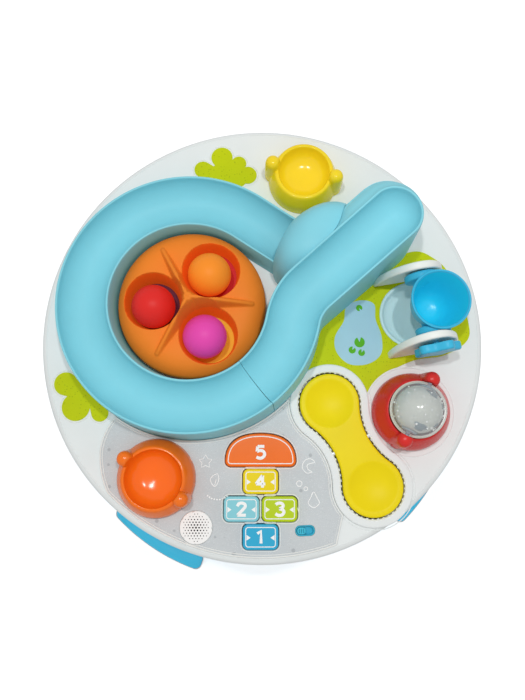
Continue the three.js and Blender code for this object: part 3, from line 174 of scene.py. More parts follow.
def unionLoop(x, y, discs):
    # the outline of overlapping discs seen from a middle that they surround
    loop = []
    for a in np.linspace(0, fullTurn, 361)[:-1]:
        best = 0.0
        for dx, dy, radius in discs:
            on = (dx - x) * math.cos(a) + (dy - y) * math.sin(a)
            off = (dx - x) ** 2 + (dy - y) ** 2 - on * on
            if radius * radius > off:
                best = max(best, on + math.sqrt(radius * radius - off))
        loop.append((x + best * math.cos(a), y + best * math.sin(a)))
    return loop


def roundTop(high, radius, steps):
    # a rounded top edge, as (inset, height)
    return [(radius * (1 - math.cos(a)), high - radius + radius * math.sin(a))
            for a in np.linspace(0, quarterTurn, steps + 1)]


# Forms: each gives points and faces

def joined(parts):
    points, faces = [], []
    for p, f in parts:
        start = len(points)
        points += [tuple(q) for q in p]
        faces += [[start + i for i in face] for face in f]
    return points, faces


def skin(rows, first=False, last=False, around=True):
    size = len(rows[0])
    points = [tuple(p) for row in rows for p in row]
    faces = []
    for i in range(0, size * (len(rows) - 1), size):
        for j in range(size if around else size - 1):
            k = (j + 1) % size
            faces.append([i + j, i + k, i + size + k, i + size + j])
    if first:
        faces.append(list(range(size))[::-1])
    if last:
        faces.append([len(points) - size + j for j in range(size)])
    return points, faces


def prism(loop, low, high):
    return skin([raised(loop, low), raised(loop, high)], True, True)


def lathe(profile, sides=96, x=0.0):
    return skin([raised(circleLoop(radius, sides, x), height) for radius, height in profile])


def region(loops, keep=None, extra=()):
    # the flat area inside the first outline and outside the others, or that keep() holds, in triangles
    points, edges = [], []
    for loop in loops:
        start = len(points)
        points += [Vector(p) for p in loop]
        edges += [(start + i, start + (i + 1) % len(loop)) for i in range(len(loop))]
    points += [Vector(p) for p in extra]
    made, ignored, triangles = delaunay_2d_cdt(points, edges, [], 0, 1e-5, False)[:3]
    xy = np.array([(p.x, p.y) for p in made])
    corners = np.array([t for t in triangles if len(t) == 3])
    middle = xy[corners].mean(1).T
    return xy, corners[keep(*middle) if keep else within(*middle, *loops)]


def sheet(area, low, high):
    # a flat area between two heights; high may be a function of the place
    xy, triangles = area
    used = np.unique(triangles)
    index = {int(u): i for i, u in enumerate(used)}
    tops = high(*xy.T) if callable(high) else np.full(len(xy), high)
    points = [(*xy[u], tops[u]) for u in used] + [(*xy[u], low) for u in used]
    count = len(used)
    faces, sides = [], {}
    for t in triangles:
        a, b, c = (index[int(v)] for v in t)
        faces += [[a, b, c], [count + c, count + b, count + a]]
        for e in ((a, b), (b, c), (c, a)):
            sides[tuple(sorted(e))] = None if tuple(sorted(e)) in sides else e
    faces += [[e[1], e[0], count + e[0], count + e[1]] for e in sides.values() if e]
    return points, faces


def plate(loops, edge, capHeight=None, capPoints=()):
    # outer outline first, then holes, all with the material on the left; edge lists (inset, height) upwards
    capMargin = 0.35
    rings = [(edge[0][0] + capMargin, edge[0][1]), *edge, (edge[-1][0] + capMargin, edge[-1][1])]
    parts = [skin([raised(inset(loop, amount), height) for amount, height in rings]) for loop in loops]
    for top in (False, True):
        amount, height = rings[-1 if top else 0]
        xy, triangles = region([inset(loop, amount) for loop in loops], None, capPoints if top else ())
        z = capHeight(*xy.T) if top and capHeight else [height] * len(xy)
        parts.append(([(*a, h) for a, h in zip(xy, z)], triangles.tolist()))
    return joined(parts)


def lying(form, height):
    # a form whose axis is turned from upright to X
    p = np.array(form[0])
    return np.column_stack((p[:, 2], p[:, 1], -p[:, 0])) + (0, 0, height), form[1]


def leant(a, b, angle):
    return a * math.cos(angle) - b * math.sin(angle), a * math.sin(angle) + b * math.cos(angle)


# Pieces

def addObject(name, points, edges=(), faces=(), at=(0, 0, 0)):
    # millimetres above the play surface, carried to a toy's place
    p = (carried(np.reshape(points, (-1, 3)), at) + (0, 0, surfaceHeight)) * mm
    mesh = bpy.data.meshes.new(name)
    mesh.from_pydata([tuple(q) for q in p], list(edges), [list(map(int, f)) for f in faces])
    piece = bpy.data.objects.new(name, mesh)
    bpy.context.scene.collection.objects.link(piece)
    return piece


def softShade(mesh, sharp):
    mesh.shade_smooth()
    mesh.set_sharp_from_angle(angle=math.radians(sharp))


def makePiece(name, form, finish, at=(0, 0, 0), sharp=40, close=True):
    piece = addObject(name, form[0], (), form[1], at)
    mesh = piece.data
    bm = bmesh.new()
    bm.from_mesh(mesh)
    bmesh.ops.remove_doubles(bm, verts=bm.verts, dist=2e-6)
    bmesh.ops.dissolve_degenerate(bm, edges=bm.edges, dist=1e-7)
    if close:
        bmesh.ops.recalc_face_normals(bm, faces=bm.faces)
    bm.to_mesh(mesh)
    bm.free()
    softShade(mesh, sharp)
    mesh.materials.append(paint[finish])
    return piece


def hand(piece, node=None, body="table"):
    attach(piece, body)
    if node:
        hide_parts(node)


def addPiece(name, form, finish, node=None, at=(0, 0, 0), sharp=40, body="table", close=True):
    hand(makePiece(name, form, finish, at, sharp, close), node, body)


def settle(piece, sharp):
    # the modifiers' result becomes the plain mesh
    graph = bpy.context.evaluated_depsgraph_get()
    mesh = bpy.data.meshes.new_from_object(piece.evaluated_get(graph), depsgraph=graph)
    piece.modifiers.clear()
    old = piece.data
    piece.data = mesh
    mesh.name = piece.name
    bpy.data.meshes.remove(old)
    softShade(mesh, sharp)


def carve(piece, *forms, sharp=40):
    cutters = [makePiece("cutter", form, piece.data.materials[0].name) for form in forms]
    for cutter in cutters:
        cut = piece.modifiers.new("carve", "BOOLEAN")
        cut.operation = "DIFFERENCE"
        cut.solver = "EXACT"
        cut.object = cutter
    settle(piece, sharp)
    for cutter in cutters:
        bpy.data.objects.remove(cutter)


# Nodes

def feed(tree, node, links):
    for socket, source in links.items():
        if isinstance(source, bpy.types.NodeSocket):
            tree.links.new(source, node.inputs[socket])
        else:
            node.inputs[socket].default_value = source


def wire(tree, kind, links=None, **settings):
    node = tree.nodes.new(kind)
    for key, value in settings.items():
        setattr(node, key, value)
    feed(tree, node, links or {})
    return node


def newTree(name, **inputs):
    tree = bpy.data.node_groups.new(name, "GeometryNodeTree")
    tree.interface.new_socket("Geometry", in_out="INPUT", socket_type="NodeSocketGeometry")
    for label, value in inputs.items():
        socket = tree.interface.new_socket(label, in_out="INPUT", socket_type="NodeSocketFloat")
        socket.default_value = value
    tree.interface.new_socket("Geometry", in_out="OUTPUT", socket_type="NodeSocketGeometry")
    return tree, tree.nodes.new("NodeGroupInput").outputs, tree.nodes.new("NodeGroupOutput")


def endTree(tree, source, end, finish):
    real = wire(tree, "GeometryNodeRealizeInstances", {0: source})
    painted = wire(tree, "GeometryNodeSetMaterial", {0: real.outputs[0], "Material": paint[finish]})
    tree.links.new(painted.outputs[0], end.inputs[0])


def scatter(tree, end, finish, **links):
    many = wire(tree, "GeometryNodeInstanceOnPoints", links)
    endTree(tree, many.outputs[0], end, finish)


def lineTree(finish):
    # a raised line that follows the path it is given
    tree, start, end = newTree("raisedLine", Width=1.0, Height=0.5)
    path = wire(tree, "GeometryNodeMeshToCurve", {0: start["Geometry"]})
    circle = wire(tree, "GeometryNodeCurvePrimitiveCircle", {"Resolution": 10, "Radius": 0.5})
    size = wire(tree, "ShaderNodeCombineXYZ", {0: start["Width"], 1: start["Height"], 2: 1.0})
    section = wire(tree, "GeometryNodeTransform", {0: circle.outputs[0], "Scale": size.outputs[0]})
    upright = wire(tree, "GeometryNodeSetCurveNormal", {0: path.outputs[0]}, mode="Z_UP")
    tube = wire(tree, "GeometryNodeCurveToMesh",
                {0: upright.outputs[0], 1: section.outputs[0], "Fill Caps": True})
    endTree(tree, tube.outputs[0], end, finish)
    return tree


def growPiece(name, points, edges, tree, slot, at=(0, 0, 0), sharp=40, body="table", **values):
    piece = addObject(name, points, edges, (), at)
    modifier = piece.modifiers.new(tree.name, "NODES")
    modifier.node_group = tree
    for item in tree.interface.items_tree:
        if item.item_type == "SOCKET" and item.in_out == "INPUT" and item.name in values:
            modifier[item.identifier] = values[item.name]
    settle(piece, sharp)
    hand(piece, None, body)


def addLines(name, paths, finish, width, height, slot, at=(0, 0, 0), body="table"):
    # each path is (points, closed)
    points, edges = [], []
    for line, closed in paths:
        start, size = len(points), len(line)
        points += [tuple(p) for p in line]
        edges += [(start + i, start + (i + 1) % size) for i in range(size if closed else size - 1)]
    growPiece(name, points, edges, lineTrees[finish], slot, at, 60, body,
              Width=width * mm, Height=height * mm)


# Materials

def linear(colour, amount=1):
    shares = [min(255, max(0, c * amount)) / 255 for c in colour]
    return tuple(c / 12.92 if c <= 0.04045 else ((c + 0.055) / 1.055) ** 2.4 for c in shares) + (1,)


def mouldedPlastic(name, colour, roughness, mottle, grain=0.12, specular=0.12, grainScale=1400, coat=0.0,
                   specks=()):
    material = bpy.data.materials.new(name)
    material.use_nodes = True
    tree = material.node_tree
    place = wire(tree, "ShaderNodeTexCoord").outputs["Object"]

    def noise(scale, detail):
        sockets = {"Vector": place, "Scale": scale, "Detail": detail}
        return wire(tree, "ShaderNodeTexNoise", sockets).outputs["Fac"]

    ramp = wire(tree, "ShaderNodeValToRGB", {"Fac": noise(14, 3)})
    for i, position, amount in ((0, 0.3, 1 - mottle), (1, 0.7, 1 + mottle * 0.6)):
        ramp.color_ramp.elements[i].position = position
        ramp.color_ramp.elements[i].color = linear(colour, amount)
    tint = ramp.outputs["Color"]
    for scale, size, strength, speck, share in specks:
        cells = wire(tree, "ShaderNodeTexVoronoi", {"Vector": place, "Scale": scale, "Randomness": 0.9})
        spot = wire(tree, "ShaderNodeMapRange", {"Value": cells.outputs["Distance"], "From Min": size,
                                                 "From Max": size * 1.5, "To Min": strength, "To Max": 0})
        parts = wire(tree, "ShaderNodeSeparateColor", {0: cells.outputs["Color"]})
        pick = wire(tree, "ShaderNodeMath", {0: parts.outputs[0], 1: share}, operation="LESS_THAN")
        both = wire(tree, "ShaderNodeMath", {0: spot.outputs["Result"], 1: pick.outputs[0]},
                    operation="MULTIPLY")
        mix = wire(tree, "ShaderNodeMix", {"B": linear(speck), "Factor": both.outputs[0], "A": tint},
                   data_type="RGBA")
        tint = mix.outputs["Result"]
    bump = wire(tree, "ShaderNodeBump",
                {"Strength": grain, "Distance": 0.0002, "Height": noise(grainScale, 2)})
    gloss = wire(tree, "ShaderNodeMapRange",
                 {"Value": noise(45, 4), "To Min": roughness - 0.05, "To Max": roughness + 0.07})
    feed(tree, tree.nodes["Principled BSDF"], {
        "Base Color": tint, "Normal": bump.outputs["Normal"], "Roughness": gloss.outputs["Result"],
        "Specular IOR Level": specular, "Coat Weight": coat, "Coat Roughness": 0.08})
    return material


# colour, roughness, mottle, grain, specular, grain scale, coat and specks
finishes = {
    "shellWhite": ((235, 239, 238), 0.42, 0.015),
    "trayWhite": ((224, 228, 227), 0.5, 0.02),
    "panelGrey": ((203, 208, 210), 0.3, 0.035, 0.3, 0.12, 700, 0.15, (
        (900, 0.25, 0.45, (240, 243, 244), 0.35),
        (520, 0.16, 0.35, (150, 156, 160), 0.25),
        (95, 0.16, 0.45, (140, 146, 150), 0.22))),
    "panelEdge": ((238, 239, 235), 0.35, 0.01),
    "trackBlue": ((139, 215, 229), 0.44, 0.02, 0.18, 0.12, 1700),
    "hoodBlue": ((136, 212, 227), 0.4, 0.03),
    "lime": ((196, 208, 10), 0.55, 0.03, 0.3, 0.12, 900, 0.0, ((330, 0.17, 0.75, (150, 168, 12), 0.6),)),
    "pondBlue": ((166, 208, 224), 0.42, 0.03),
    "lilyGreen": ((88, 176, 34), 0.5, 0.05),
    "sorterOrange": ((242, 134, 44), 0.5, 0.03, 0.2),
    "holeOrange": ((234, 104, 28), 0.5, 0.03),
    "padRed": ((196, 38, 44), 0.45, 0.05),
    "padPurple": ((96, 34, 60), 0.45, 0.05),
    "padYellow": ((232, 190, 44), 0.45, 0.05),
    "ballOrange": ((250, 146, 44), 0.42, 0.03),
    "ballRed": ((222, 46, 42), 0.4, 0.03),
    "ballPink": ((224, 74, 170), 0.4, 0.03),
    "bowlYellow": ((244, 213, 34), 0.15, 0.03, 0.06, 0.25),
    "bowlOrange": ((249, 118, 24), 0.15, 0.03, 0.06, 0.25),
    "cupRed": ((216, 46, 42), 0.26, 0.03, 0.06, 0.2),
    "cupBlue": ((44, 204, 232), 0.24, 0.03, 0.06, 0.3),
    "rimBlue": ((66, 186, 224), 0.32, 0.03),
    "wellBlue": ((206, 236, 240), 0.4, 0.02),
    "finWhite": ((240, 243, 238), 0.36, 0.02),
    "seesawYellow": ((244, 221, 20), 0.4, 0.03),
    "legBlue": ((52, 208, 252), 0.5, 0.03, 0.12, 0.05),
    "footGrey": ((208, 212, 213), 0.75, 0.05, 0.5, 0.12, 500),
    "keyBlue": ((52, 174, 214), 0.25, 0.03, 0.12, 0.2),
    "keyTeal": ((140, 210, 221), 0.25, 0.03, 0.12, 0.2),
    "keyLime": ((188, 212, 28), 0.25, 0.03, 0.12, 0.2),
    "keyYellow": ((240, 214, 20), 0.25, 0.03, 0.12, 0.15),
    "keyOrange": ((246, 112, 16), 0.25, 0.03, 0.12, 0.15),
    "switchBlue": ((70, 190, 216), 0.32, 0.03),
    "ink": ((250, 250, 248), 0.4, 0.01, 0.02),
    "darkHole": ((44, 40, 36), 0.7, 0.1),
    "matDark": ((60, 63, 66), 0.8, 0.08),
    "boardGreen": ((34, 104, 60), 0.45, 0.1),
    "cellDark": ((62, 66, 70), 0.35, 0.1),
    "leadRed": ((172, 46, 46), 0.5, 0.08),
    "discGrey": ((150, 166, 176), 0.3, 0.06),
    "liner": ((186, 188, 177), 0.16, 0.1, 0.6, 0.5, 260, 0.0, (
        (330, 0.22, 0.6, (236, 238, 236), 0.5),
        (210, 0.2, 0.5, (150, 154, 154), 0.35))),
    # painted reflection: dark grey-blue patches laid on the rattle's liner
    "paintedReflection": ((78, 98, 108), 0.2, 0.3, 0.6, 0.5, 500),
    "seam": ((208, 208, 196), 0.2, 0.03, 0.05, 0.5),
    "bead": ((240, 242, 240), 0.15, 0.03, 0.05, 0.5),
    "steel": ((206, 208, 210), 0.3, 0.08, 0.15, 0.12, 2600),
    "silver": ((222, 224, 226), 0.22, 0.08, 0.15, 0.12, 2600),
    "clear": ((236, 244, 246), 0.08, 0.01, 0.01, 0.12, 1400, 1.0),
}
paint = {name: mouldedPlastic(name, *values) for name, values in finishes.items()}


def finishMore(name, **values):
    feed(None, paint[name].node_tree.nodes["Principled BSDF"],
         {socket.replace("_", " "): value for socket, value in values.items()})


# painted glow: an emission that brightens the shaded walls of these thin plastic parts, standing in for light
# that passes through them
for name, glow, colour in (("holeOrange", 0.17, (246, 112, 30)), ("cupBlue", 0.06, (20, 200, 240)),
                           ("legBlue", 0.09, (60, 210, 250)), ("bowlYellow", 0.06, (236, 214, 30)),
                           ("ballOrange", 0.07, (255, 150, 50)), ("ballRed", 0.04, (240, 50, 44)),
                           ("ballPink", 0.07, (250, 90, 190))):
    finishMore(name, Emission_Color=linear(colour), Emission_Strength=glow)
for name in ("steel", "silver"):
    finishMore(name, Metallic=1.0)
finishMore("clear", Alpha=0.3, Roughness=0.05)
print("materials made:", len(paint))
lineTrees = {name: lineTree(name) for name in ("ink", "panelEdge", "shellWhite")}


# Ball run

run = {
    "seamAngle": -51.6, "releaseAngle": 57.3, "tunnelRun": 70.0, "bends": ((105.0, 41.3), (56.0, -39.2)),
    "rampRun": 111.5, "halfWidth": 28.3, "depth": 25.0, "wall": 2.6, "footFlare": 4.5, "topHeight": 98.0,
    "seamHeight": 60.0, "tunnelHeight": 28.6, "bulge": 16.0, "bulgeDrop": 16.0, "tuckStep": 23.0, "step": 3.5,
    "drawBack": 0.5, "exitOn": 92.0, "exitTurn": 105.0, "boreHalf": 27.0, "under": -6.0,
}


def ringStations():
    # x, y, heading, height and flare, round the ring from the seam and straight on under the ramp
    sweep = 360 - (run["releaseAngle"] - run["seamAngle"])
    length = math.radians(sweep) * ring["radius"]
    fall = (run["tunnelHeight"] - run["seamHeight"]) / (length + run["tunnelRun"])
    steps, straight = round(length / run["step"]), round(run["tunnelRun"] / run["step"])
    stations = []
    for i in range(steps + 1):
        back = 0 if i else math.degrees(run["drawBack"] / ring["radius"])
        angle = run["seamAngle"] - back - sweep * i / steps
        stations.append((*polar(ring["radius"], angle, *ringMiddle), angle - 90,
                         run["seamHeight"] + fall * length * i / steps, 0.0))
    x, y, heading = stations[-1][:3]
    for i in range(1, straight + 1):
        on = run["tunnelRun"] * i / straight
        stations.append((*polar(on, heading, x, y), heading, run["seamHeight"] + fall * (length + on), 0.0))
    return stations, stations[steps]


def rampStations():
    stretches = [(math.radians(abs(turn)) * radius, turn) for radius, turn in run["bends"]]
    stretches.append((run["rampRun"], 0.0))
    length = sum(stretch for stretch, turn in stretches)
    bends = length - run["rampRun"]
    x, y = polar(ring["radius"], run["seamAngle"], *ringMiddle)
    heading, on = run["seamAngle"] + 90, 0.0
    stations = [(x, y, heading, run["seamHeight"], 0.0)]
    for stretch, turn in stretches:
        steps = round(stretch / run["step"])
        step, part = stretch / steps, turn / steps
        half = math.radians(part) / 2
        chord = step * math.sin(half) / half if turn else step
        for i in range(steps):
            x, y = polar(chord, heading + part / 2, x, y)
            heading += part
            on += step
            tuck = smoothStep(on, 0, run["tuckStep"]) - smoothStep(on, bends, bends + run["tuckStep"] * 2)
            bulge = smoothStep(on, bends + run["rampRun"] * 0.45, bends + run["rampRun"] * 0.8)
            height = run["seamHeight"] + (run["topHeight"] - run["seamHeight"]) * on / length
            flare = float(run["bulge"] * bulge - run["footFlare"] * tuck)
            stations.append((x, y, heading, height, flare))
    return stations


def skirt(height, flare, grown, top, count):
    # the outside's foot and shoulder, and its curve up to the rim
    base = run["halfWidth"] + flare + grown
    foot, shoulder = base + run["footFlare"], base + run["footFlare"] * run["bulgeDrop"] / height
    start = (shoulder + (foot - shoulder) * 0.25, gap + (height - run["bulgeDrop"] - gap) * 0.75)
    bend = (shoulder, height - run["bulgeDrop"] * 0.8)
    curve = [tuple((1 - t) ** 2 * a + 2 * t * (1 - t) * b + t * t * c for a, b, c in zip(start, bend, top))
             for t in np.linspace(0, 1, count)]
    return foot, shoulder, curve


def channelHalf(height, flare):
    # from under the bowl's middle, round the foot and the rounded rim, to the bowl's middle
    half, wall, depth = run["halfWidth"], run["wall"], run["depth"]
    lip, inner = wall / 2, half - wall
    foot, shoulder, curve = skirt(height, flare, 0, (half, height - lip), 9)
    points = arc(0, height, half, quarterTurn, quarterTurn * 0.32, 5, -depth - wall)
    points += [(shoulder - wall, height - run["bulgeDrop"] - lip), (foot - wall, gap), (foot, gap)]
    points += curve + arc(half - lip, height - lip, lip, 0, halfTurn, 6)[1:-1]
    return points + arc(0, height, inner, math.asin(lip / depth), quarterTurn, 16, -depth)


def envelopeHalf(height, flare):
    top = height + gap
    foot, shoulder, curve = skirt(height, flare, gap, (run["halfWidth"] + gap, top), 7)
    return [(0, run["under"]), (foot, run["under"]), (foot, gap)] + curve + [(0, top)]


def trackForm(stations, halfOf, roundEnd=False):
    rows = []
    for x, y, heading, height, flare in stations:
        c, s = polar(1, heading)
        right = [(-out, up) for out, up in halfOf(height, 0)[1:-1]]
        rows.append([(x - s * out, y + c * out, up) for out, up in halfOf(height, flare) + right[::-1]])
    parts = [skin(rows, True, not roundEnd)]
    if roundEnd:
        turns = [[(*polar(r, heading + 90 - 180 * t, x, y), up)
                  for r, up in halfOf(height, flare * (1 - float(smoothStep(t, 0, 1))))]
                 for t in np.linspace(0, 1, 41)]
        parts.append(skin(turns, around=False))
    return joined(parts)


def ballBore(x, y, heading, length, tall):
    # an arched way for a ball
    half = run["boreHalf"]
    arch = [(-half, run["under"]), (half, run["under"])] + arc(0, tall - half, half, 0, halfTurn, 24)
    c, s = polar(1, heading)
    rows = [[(x + on * c + out * s, y + on * s - out * c, up) for out, up in arch] for on in (0, length)]
    return skin(rows, True, True)


lowerStations, mouthStation = ringStations()
upperStations = rampStations()
rampTurn = upperStations[-1][2]
travelled = np.cumsum([math.dist(a[:2], b[:2]) for a, b in zip(upperStations, upperStations[1:])])
exitStation = upperStations[np.searchsorted(travelled, run["exitOn"], "right")]
exitStart = polar(run["halfWidth"] / 2, exitStation[2] + 90, *exitStation[:2])

addPiece("lowerTrack", trackForm(lowerStations, channelHalf), "trackBlue", "lower_track")
upperTrack = makePiece("upperTrack", trackForm(upperStations, channelHalf, True), "trackBlue")
carve(upperTrack, ballBore(*lowerStations[-1][:3], 45, 53),
      ballBore(*exitStart, exitStation[2] + run["exitTurn"], 39, 50.4), sharp=38)
hand(upperTrack, "upper_track")
print("ball run made")


# Tunnel hood

hood = {"length": 57.0, "width": 38.5, "height": 80.0, "squareness": 3.0, "wall": 2.6, "along": 110.0,
        "across": 34.0, "mouth": 56.0, "mouthLength": 110.0}


def hoodForm(less):
    at = (*leant(hood["along"], hood["across"], math.radians(rampTurn)), rampTurn)
    length, width, power = hood["length"] - less, hood["width"] - less, 2 / hood["squareness"]
    rows = []
    for t in np.linspace(0, quarterTurn, 28):
        r, z = math.cos(t) ** power, math.sin(t) ** power
        oval = arc(0, 0, length * r, 0, fullTurn, 96, width * r)[:-1]
        rows.append(raised(carried(oval, at), gap + (hood["height"] - less - gap) * z))
    return skin([raised(rows[0], gap - less)] + rows, True)


tunnelHood = makePiece("tunnelHood", hoodForm(0.0), "hoodBlue", sharp=50)
carve(tunnelHood, hoodForm(hood["wall"]), trackForm(upperStations, envelopeHalf, True),
      trackForm(lowerStations, envelopeHalf),
      ballBore(*mouthStation[:3], hood["mouthLength"], hood["mouth"]), sharp=50)
hand(tunnelHood, "tunnel_hood")
print("hood made")


# Sorter

sorter = {"radius": 82.3, "height": 34.0, "low": 4.0, "holeRing": 42.0, "holeTop": 32.0, "holeBottom": 26.6,
          "holeAngle": 58.3, "finHeight": 28.0, "finReach": 71.0, "finEnd": 4.0, "wall": 0.0025,
          "paintReach": 31.6}
crownShares = [(0, 1), (0.6, 0.985), (0.84, 0.89), (0.97, 0.62), (1, 0.32), (0.985, 0)]
armShares = ([0, .1, .22, .36, .52, .68, .82, .93, 1], [1, .96, .86, .71, .53, .36, .21, .11, .05])
sorterHoles = [polar(sorter["holeRing"], sorter["holeAngle"] + turn) for turn in (0, 120, 240)]
armAngles = [math.radians(sorter["holeAngle"] + 60 + 120 * i) for i in range(3)]
# the crown in plan, then its side wall unrolled outside it
crown = shareLine(crownShares, sorter["radius"], sorter["low"], sorter["height"], 12)
crownReach = np.cumsum([0] + [math.dist(a, b) for a, b in zip(crown, crown[1:])])


def sorterHeights(x, y):
    # flat place to radius and height on the crown, with a hub, three arms and three tapered holes
    reach = np.hypot(x, y)
    radius, height = (np.interp(reach, crownReach, line) for line in zip(*crown))
    angle = np.arctan2(y, x)
    px, py = radius * np.cos(angle), radius * np.sin(angle)
    hubReach, armRoot = (3.4, 12.5), (0.9, 3.6)
    lift = sorter["finHeight"] * (1 - smoothStep(radius, *hubReach)) * 0.98
    for a in armAngles:
        on, across = leant(px, py, -a)
        crest = sorter["finHeight"] * np.interp(on / sorter["finReach"], *armShares)
        out = np.hypot(np.clip(on - sorter["finReach"] + sorter["finEnd"], 0, None), np.abs(across))
        arm = crest * (1 - smoothStep(out, armRoot[0], armRoot[1] + 5.0 * crest / sorter["finHeight"]))
        lift = softMax(lift, np.where(on > 0, arm, 0), 1.2)
    top = height + np.maximum(lift, 0)
    slope = (sorter["height"] - sorter["low"]) / (sorter["holeTop"] - sorter["holeBottom"])
    for hx, hy in sorterHoles:
        top = softMin(top, sorter["low"] + (np.hypot(px - hx, py - hy) - sorter["holeBottom"]) * slope, 2.4)
    return px, py, np.maximum(top, sorter["low"])


def sorterForm():
    points = []
    for x, y in sorterHoles:
        for d in (27.6, 28.8, 30, 31, 31.5, 32, 32.4, 32.8, 33.3, 33.9, 34.7, 35.8):
            points += circleLoop(d, 120, x, y)
    end = sorter["finReach"] - sorter["finEnd"]
    for a in armAngles:
        for out in (0, .6, 1, 1.5, 2, 2.5, 3, 3.5, 4, 4.6, 5.3, 6.2, 7.2, 8.5):
            outline = [(on, s * out) for on in np.arange(0, end, 1.1) for s in (-1, 1)]
            if out:
                outline += arc(end, 0, out, -quarterTurn, quarterTurn, 14)
            points += [leant(on, off, a) for on, off in outline]
    for r in np.linspace(3, 78, 36):
        points += circleLoop(r, max(12, int(r * 2.2)))
    kept = np.array(points)
    nearHole = np.min([np.hypot(kept[:, 0] - x, kept[:, 1] - y) for x, y in sorterHoles], axis=0)
    spacing = 0.3
    grid = np.unique(np.round(kept[nearHole > sorter["holeBottom"] + spacing] / spacing), axis=0) * spacing
    outer = [circleLoop(r, 180) for r in np.linspace(79.5, crownReach[-1], 16)]
    holes = [circleLoop(sorter["holeBottom"], 120, x, y) for x, y in sorterHoles]

    def keep(x, y):
        held = np.hypot(x, y) < crownReach[-1]
        for cx, cy in sorterHoles:
            held &= np.hypot(x - cx, y - cy) > sorter["holeBottom"] - 0.05
        return held

    xy, triangles = region(outer + holes, keep, grid)
    return list(zip(*sorterHeights(*xy.T))), triangles.tolist()


carousel = makePiece("sorterCarousel", sorterForm(), "sorterOrange", places["sorter"], sharp=60)
bm = bmesh.new()
bm.from_mesh(carousel.data)
if sum(f.normal.z * f.calc_area() for f in bm.faces) < 0:
    bmesh.ops.reverse_faces(bm, faces=bm.faces)
inner = bmesh.ops.extrude_edge_only(bm, edges=[e for e in bm.edges if e.is_boundary])
for v in [g for g in inner["geom"] if isinstance(g, bmesh.types.BMVert)]:
    # the crown's edge goes inwards and the holes' edges go outwards, by the wall
    away = Vector((v.co.x - ringMiddle[0] * mm, v.co.y - ringMiddle[1] * mm, 0))
    if away.length > sorter["radius"] * mm * 0.85:
        v.co -= away.normalized() * sorter["wall"]
    else:
        for hx, hy in sorterHoles:
            out = v.co - Vector(((ringMiddle[0] + hx) * mm, (ringMiddle[1] + hy) * mm, v.co.z))
            if out.length < 0.0285:
                v.co += out.normalized() * sorter["wall"]
bm.to_mesh(carousel.data)
bm.free()
softShade(carousel.data, 60)
carousel.data.materials.append(paint["holeOrange"])
for polygon in carousel.data.polygons:
    x, y = polygon.center.x / mm - ringMiddle[0], polygon.center.y / mm - ringMiddle[1]
    if min(math.hypot(x - hx, y - hy) for hx, hy in sorterHoles) < sorter["paintReach"]:
        polygon.material_index = 1
hand(carousel, "sorter_carousel", "sorter")

ball = {"radius": 24.0, "seamWidth": 0.7, "seamRise": 0.12, "rest": 27.7, "lean": 62}
# each ball lies to one side of its hole, within its play
ballLies = {"Orange": (-2.3, -3.8), "Red": (0.8, -5.2), "Pink": (-4.3, -0.4)}
ballRows = []
for t in np.linspace(-quarterTurn, quarterTurn, 73):
    r = ball["radius"] + ball["seamRise"] * (math.exp(-((t * ball["radius"]) / ball["seamWidth"]) ** 2) - 1)
    ballRows.append((r * math.cos(t), r * math.sin(t)))
points, faces = lathe(ballRows)
x, y, z = np.array(points).T
y, z = leant(y, z, math.radians(ball["lean"]))
for (key, lie), hole in zip(ballLies.items(), sorterHoles):
    form = np.column_stack((x + hole[0] + lie[0], y + hole[1] + lie[1], z + ball["rest"])), faces
    node = "ball_" + key.lower()
    addPiece("playBall" + key, form, "ball" + key, node, places["sorter"], 60, key.lower() + "_ball")
print("sorter and balls made")


# Bowls

bowl = {"earRadius": 8.5, "earDome": 10.0, "earSquareness": 2.5, "earSlope": 12.0, "web": 2.6}
wallShares = ((-0.2, 1), (0.05, 0.96), (0.45, 0.72), (0.9, 0.38), (1, 0.12), (1.04, 0.06))
dishShares = ((0, 0), (0.5, 0.09), (0.8, 0.3), (0.94, 0.6), (1, 1))


def bowlForm(base, rim, low, height, earTop, earReach, crest, hollow, edge):
    # a round wall with two ear posts in one soft skin, hollowed by the heights that hollow(r) gives
    wall = [(rim + out, up) for out, up in shareLine(wallShares, base - rim, low, low + height)]
    earRadius, square = bowl["earRadius"], bowl["earSquareness"]

    def heights(x, y):
        r = np.hypot(x, y)
        out = np.hypot(np.abs(x) - earReach, y)
        dome = (1 - np.clip(out / earRadius, 0, 1) ** square) ** (1 / square)
        ear = earTop + bowl["earDome"] * (dome - 1) - np.maximum(out - earRadius, 0) * bowl["earSlope"]
        return softMin(softMax(along(wall, r), ear, bowl["web"]), hollow(r), crest)

    outline = unionLoop(0, 0, [(0, 0, base)] + [(s * earReach, 0, earRadius + 0.5) for s in (-1, 1)])
    points = []
    for r in [*np.arange(2, edge - 3, 2.2), *np.arange(edge - 3, edge + 3.2, 0.33),
              *np.arange(edge + 4, base, 0.9)]:
        points += circleLoop(r, 150 if r > 15 else 48)
    points = [p for p in points
              if math.hypot(abs(p[0]) - earReach, p[1]) > 10 or abs(math.hypot(*p) - edge) < 3]
    for side in (-1, 1):
        for out in (0.01, 2, 4, 5.5, 6.6, 7.4, 7.9, 8.2, 8.4, 8.6, 8.8, 9.2, 9.8):
            points += [q for q in circleLoop(out, 56, side * earReach)
                       if math.hypot(*q) < base - 0.3 or out < 8.8]
    kept = np.array(points)
    return sheet(region([outline], None, kept[isInside(inset(outline, 0.25), *kept.T)]), low, heights)


def dishHollow(radius, low, top):
    line = shareLine(dishShares, radius, low, top)
    return lambda r: along(line, r) + np.maximum(r - radius, 0) * 9


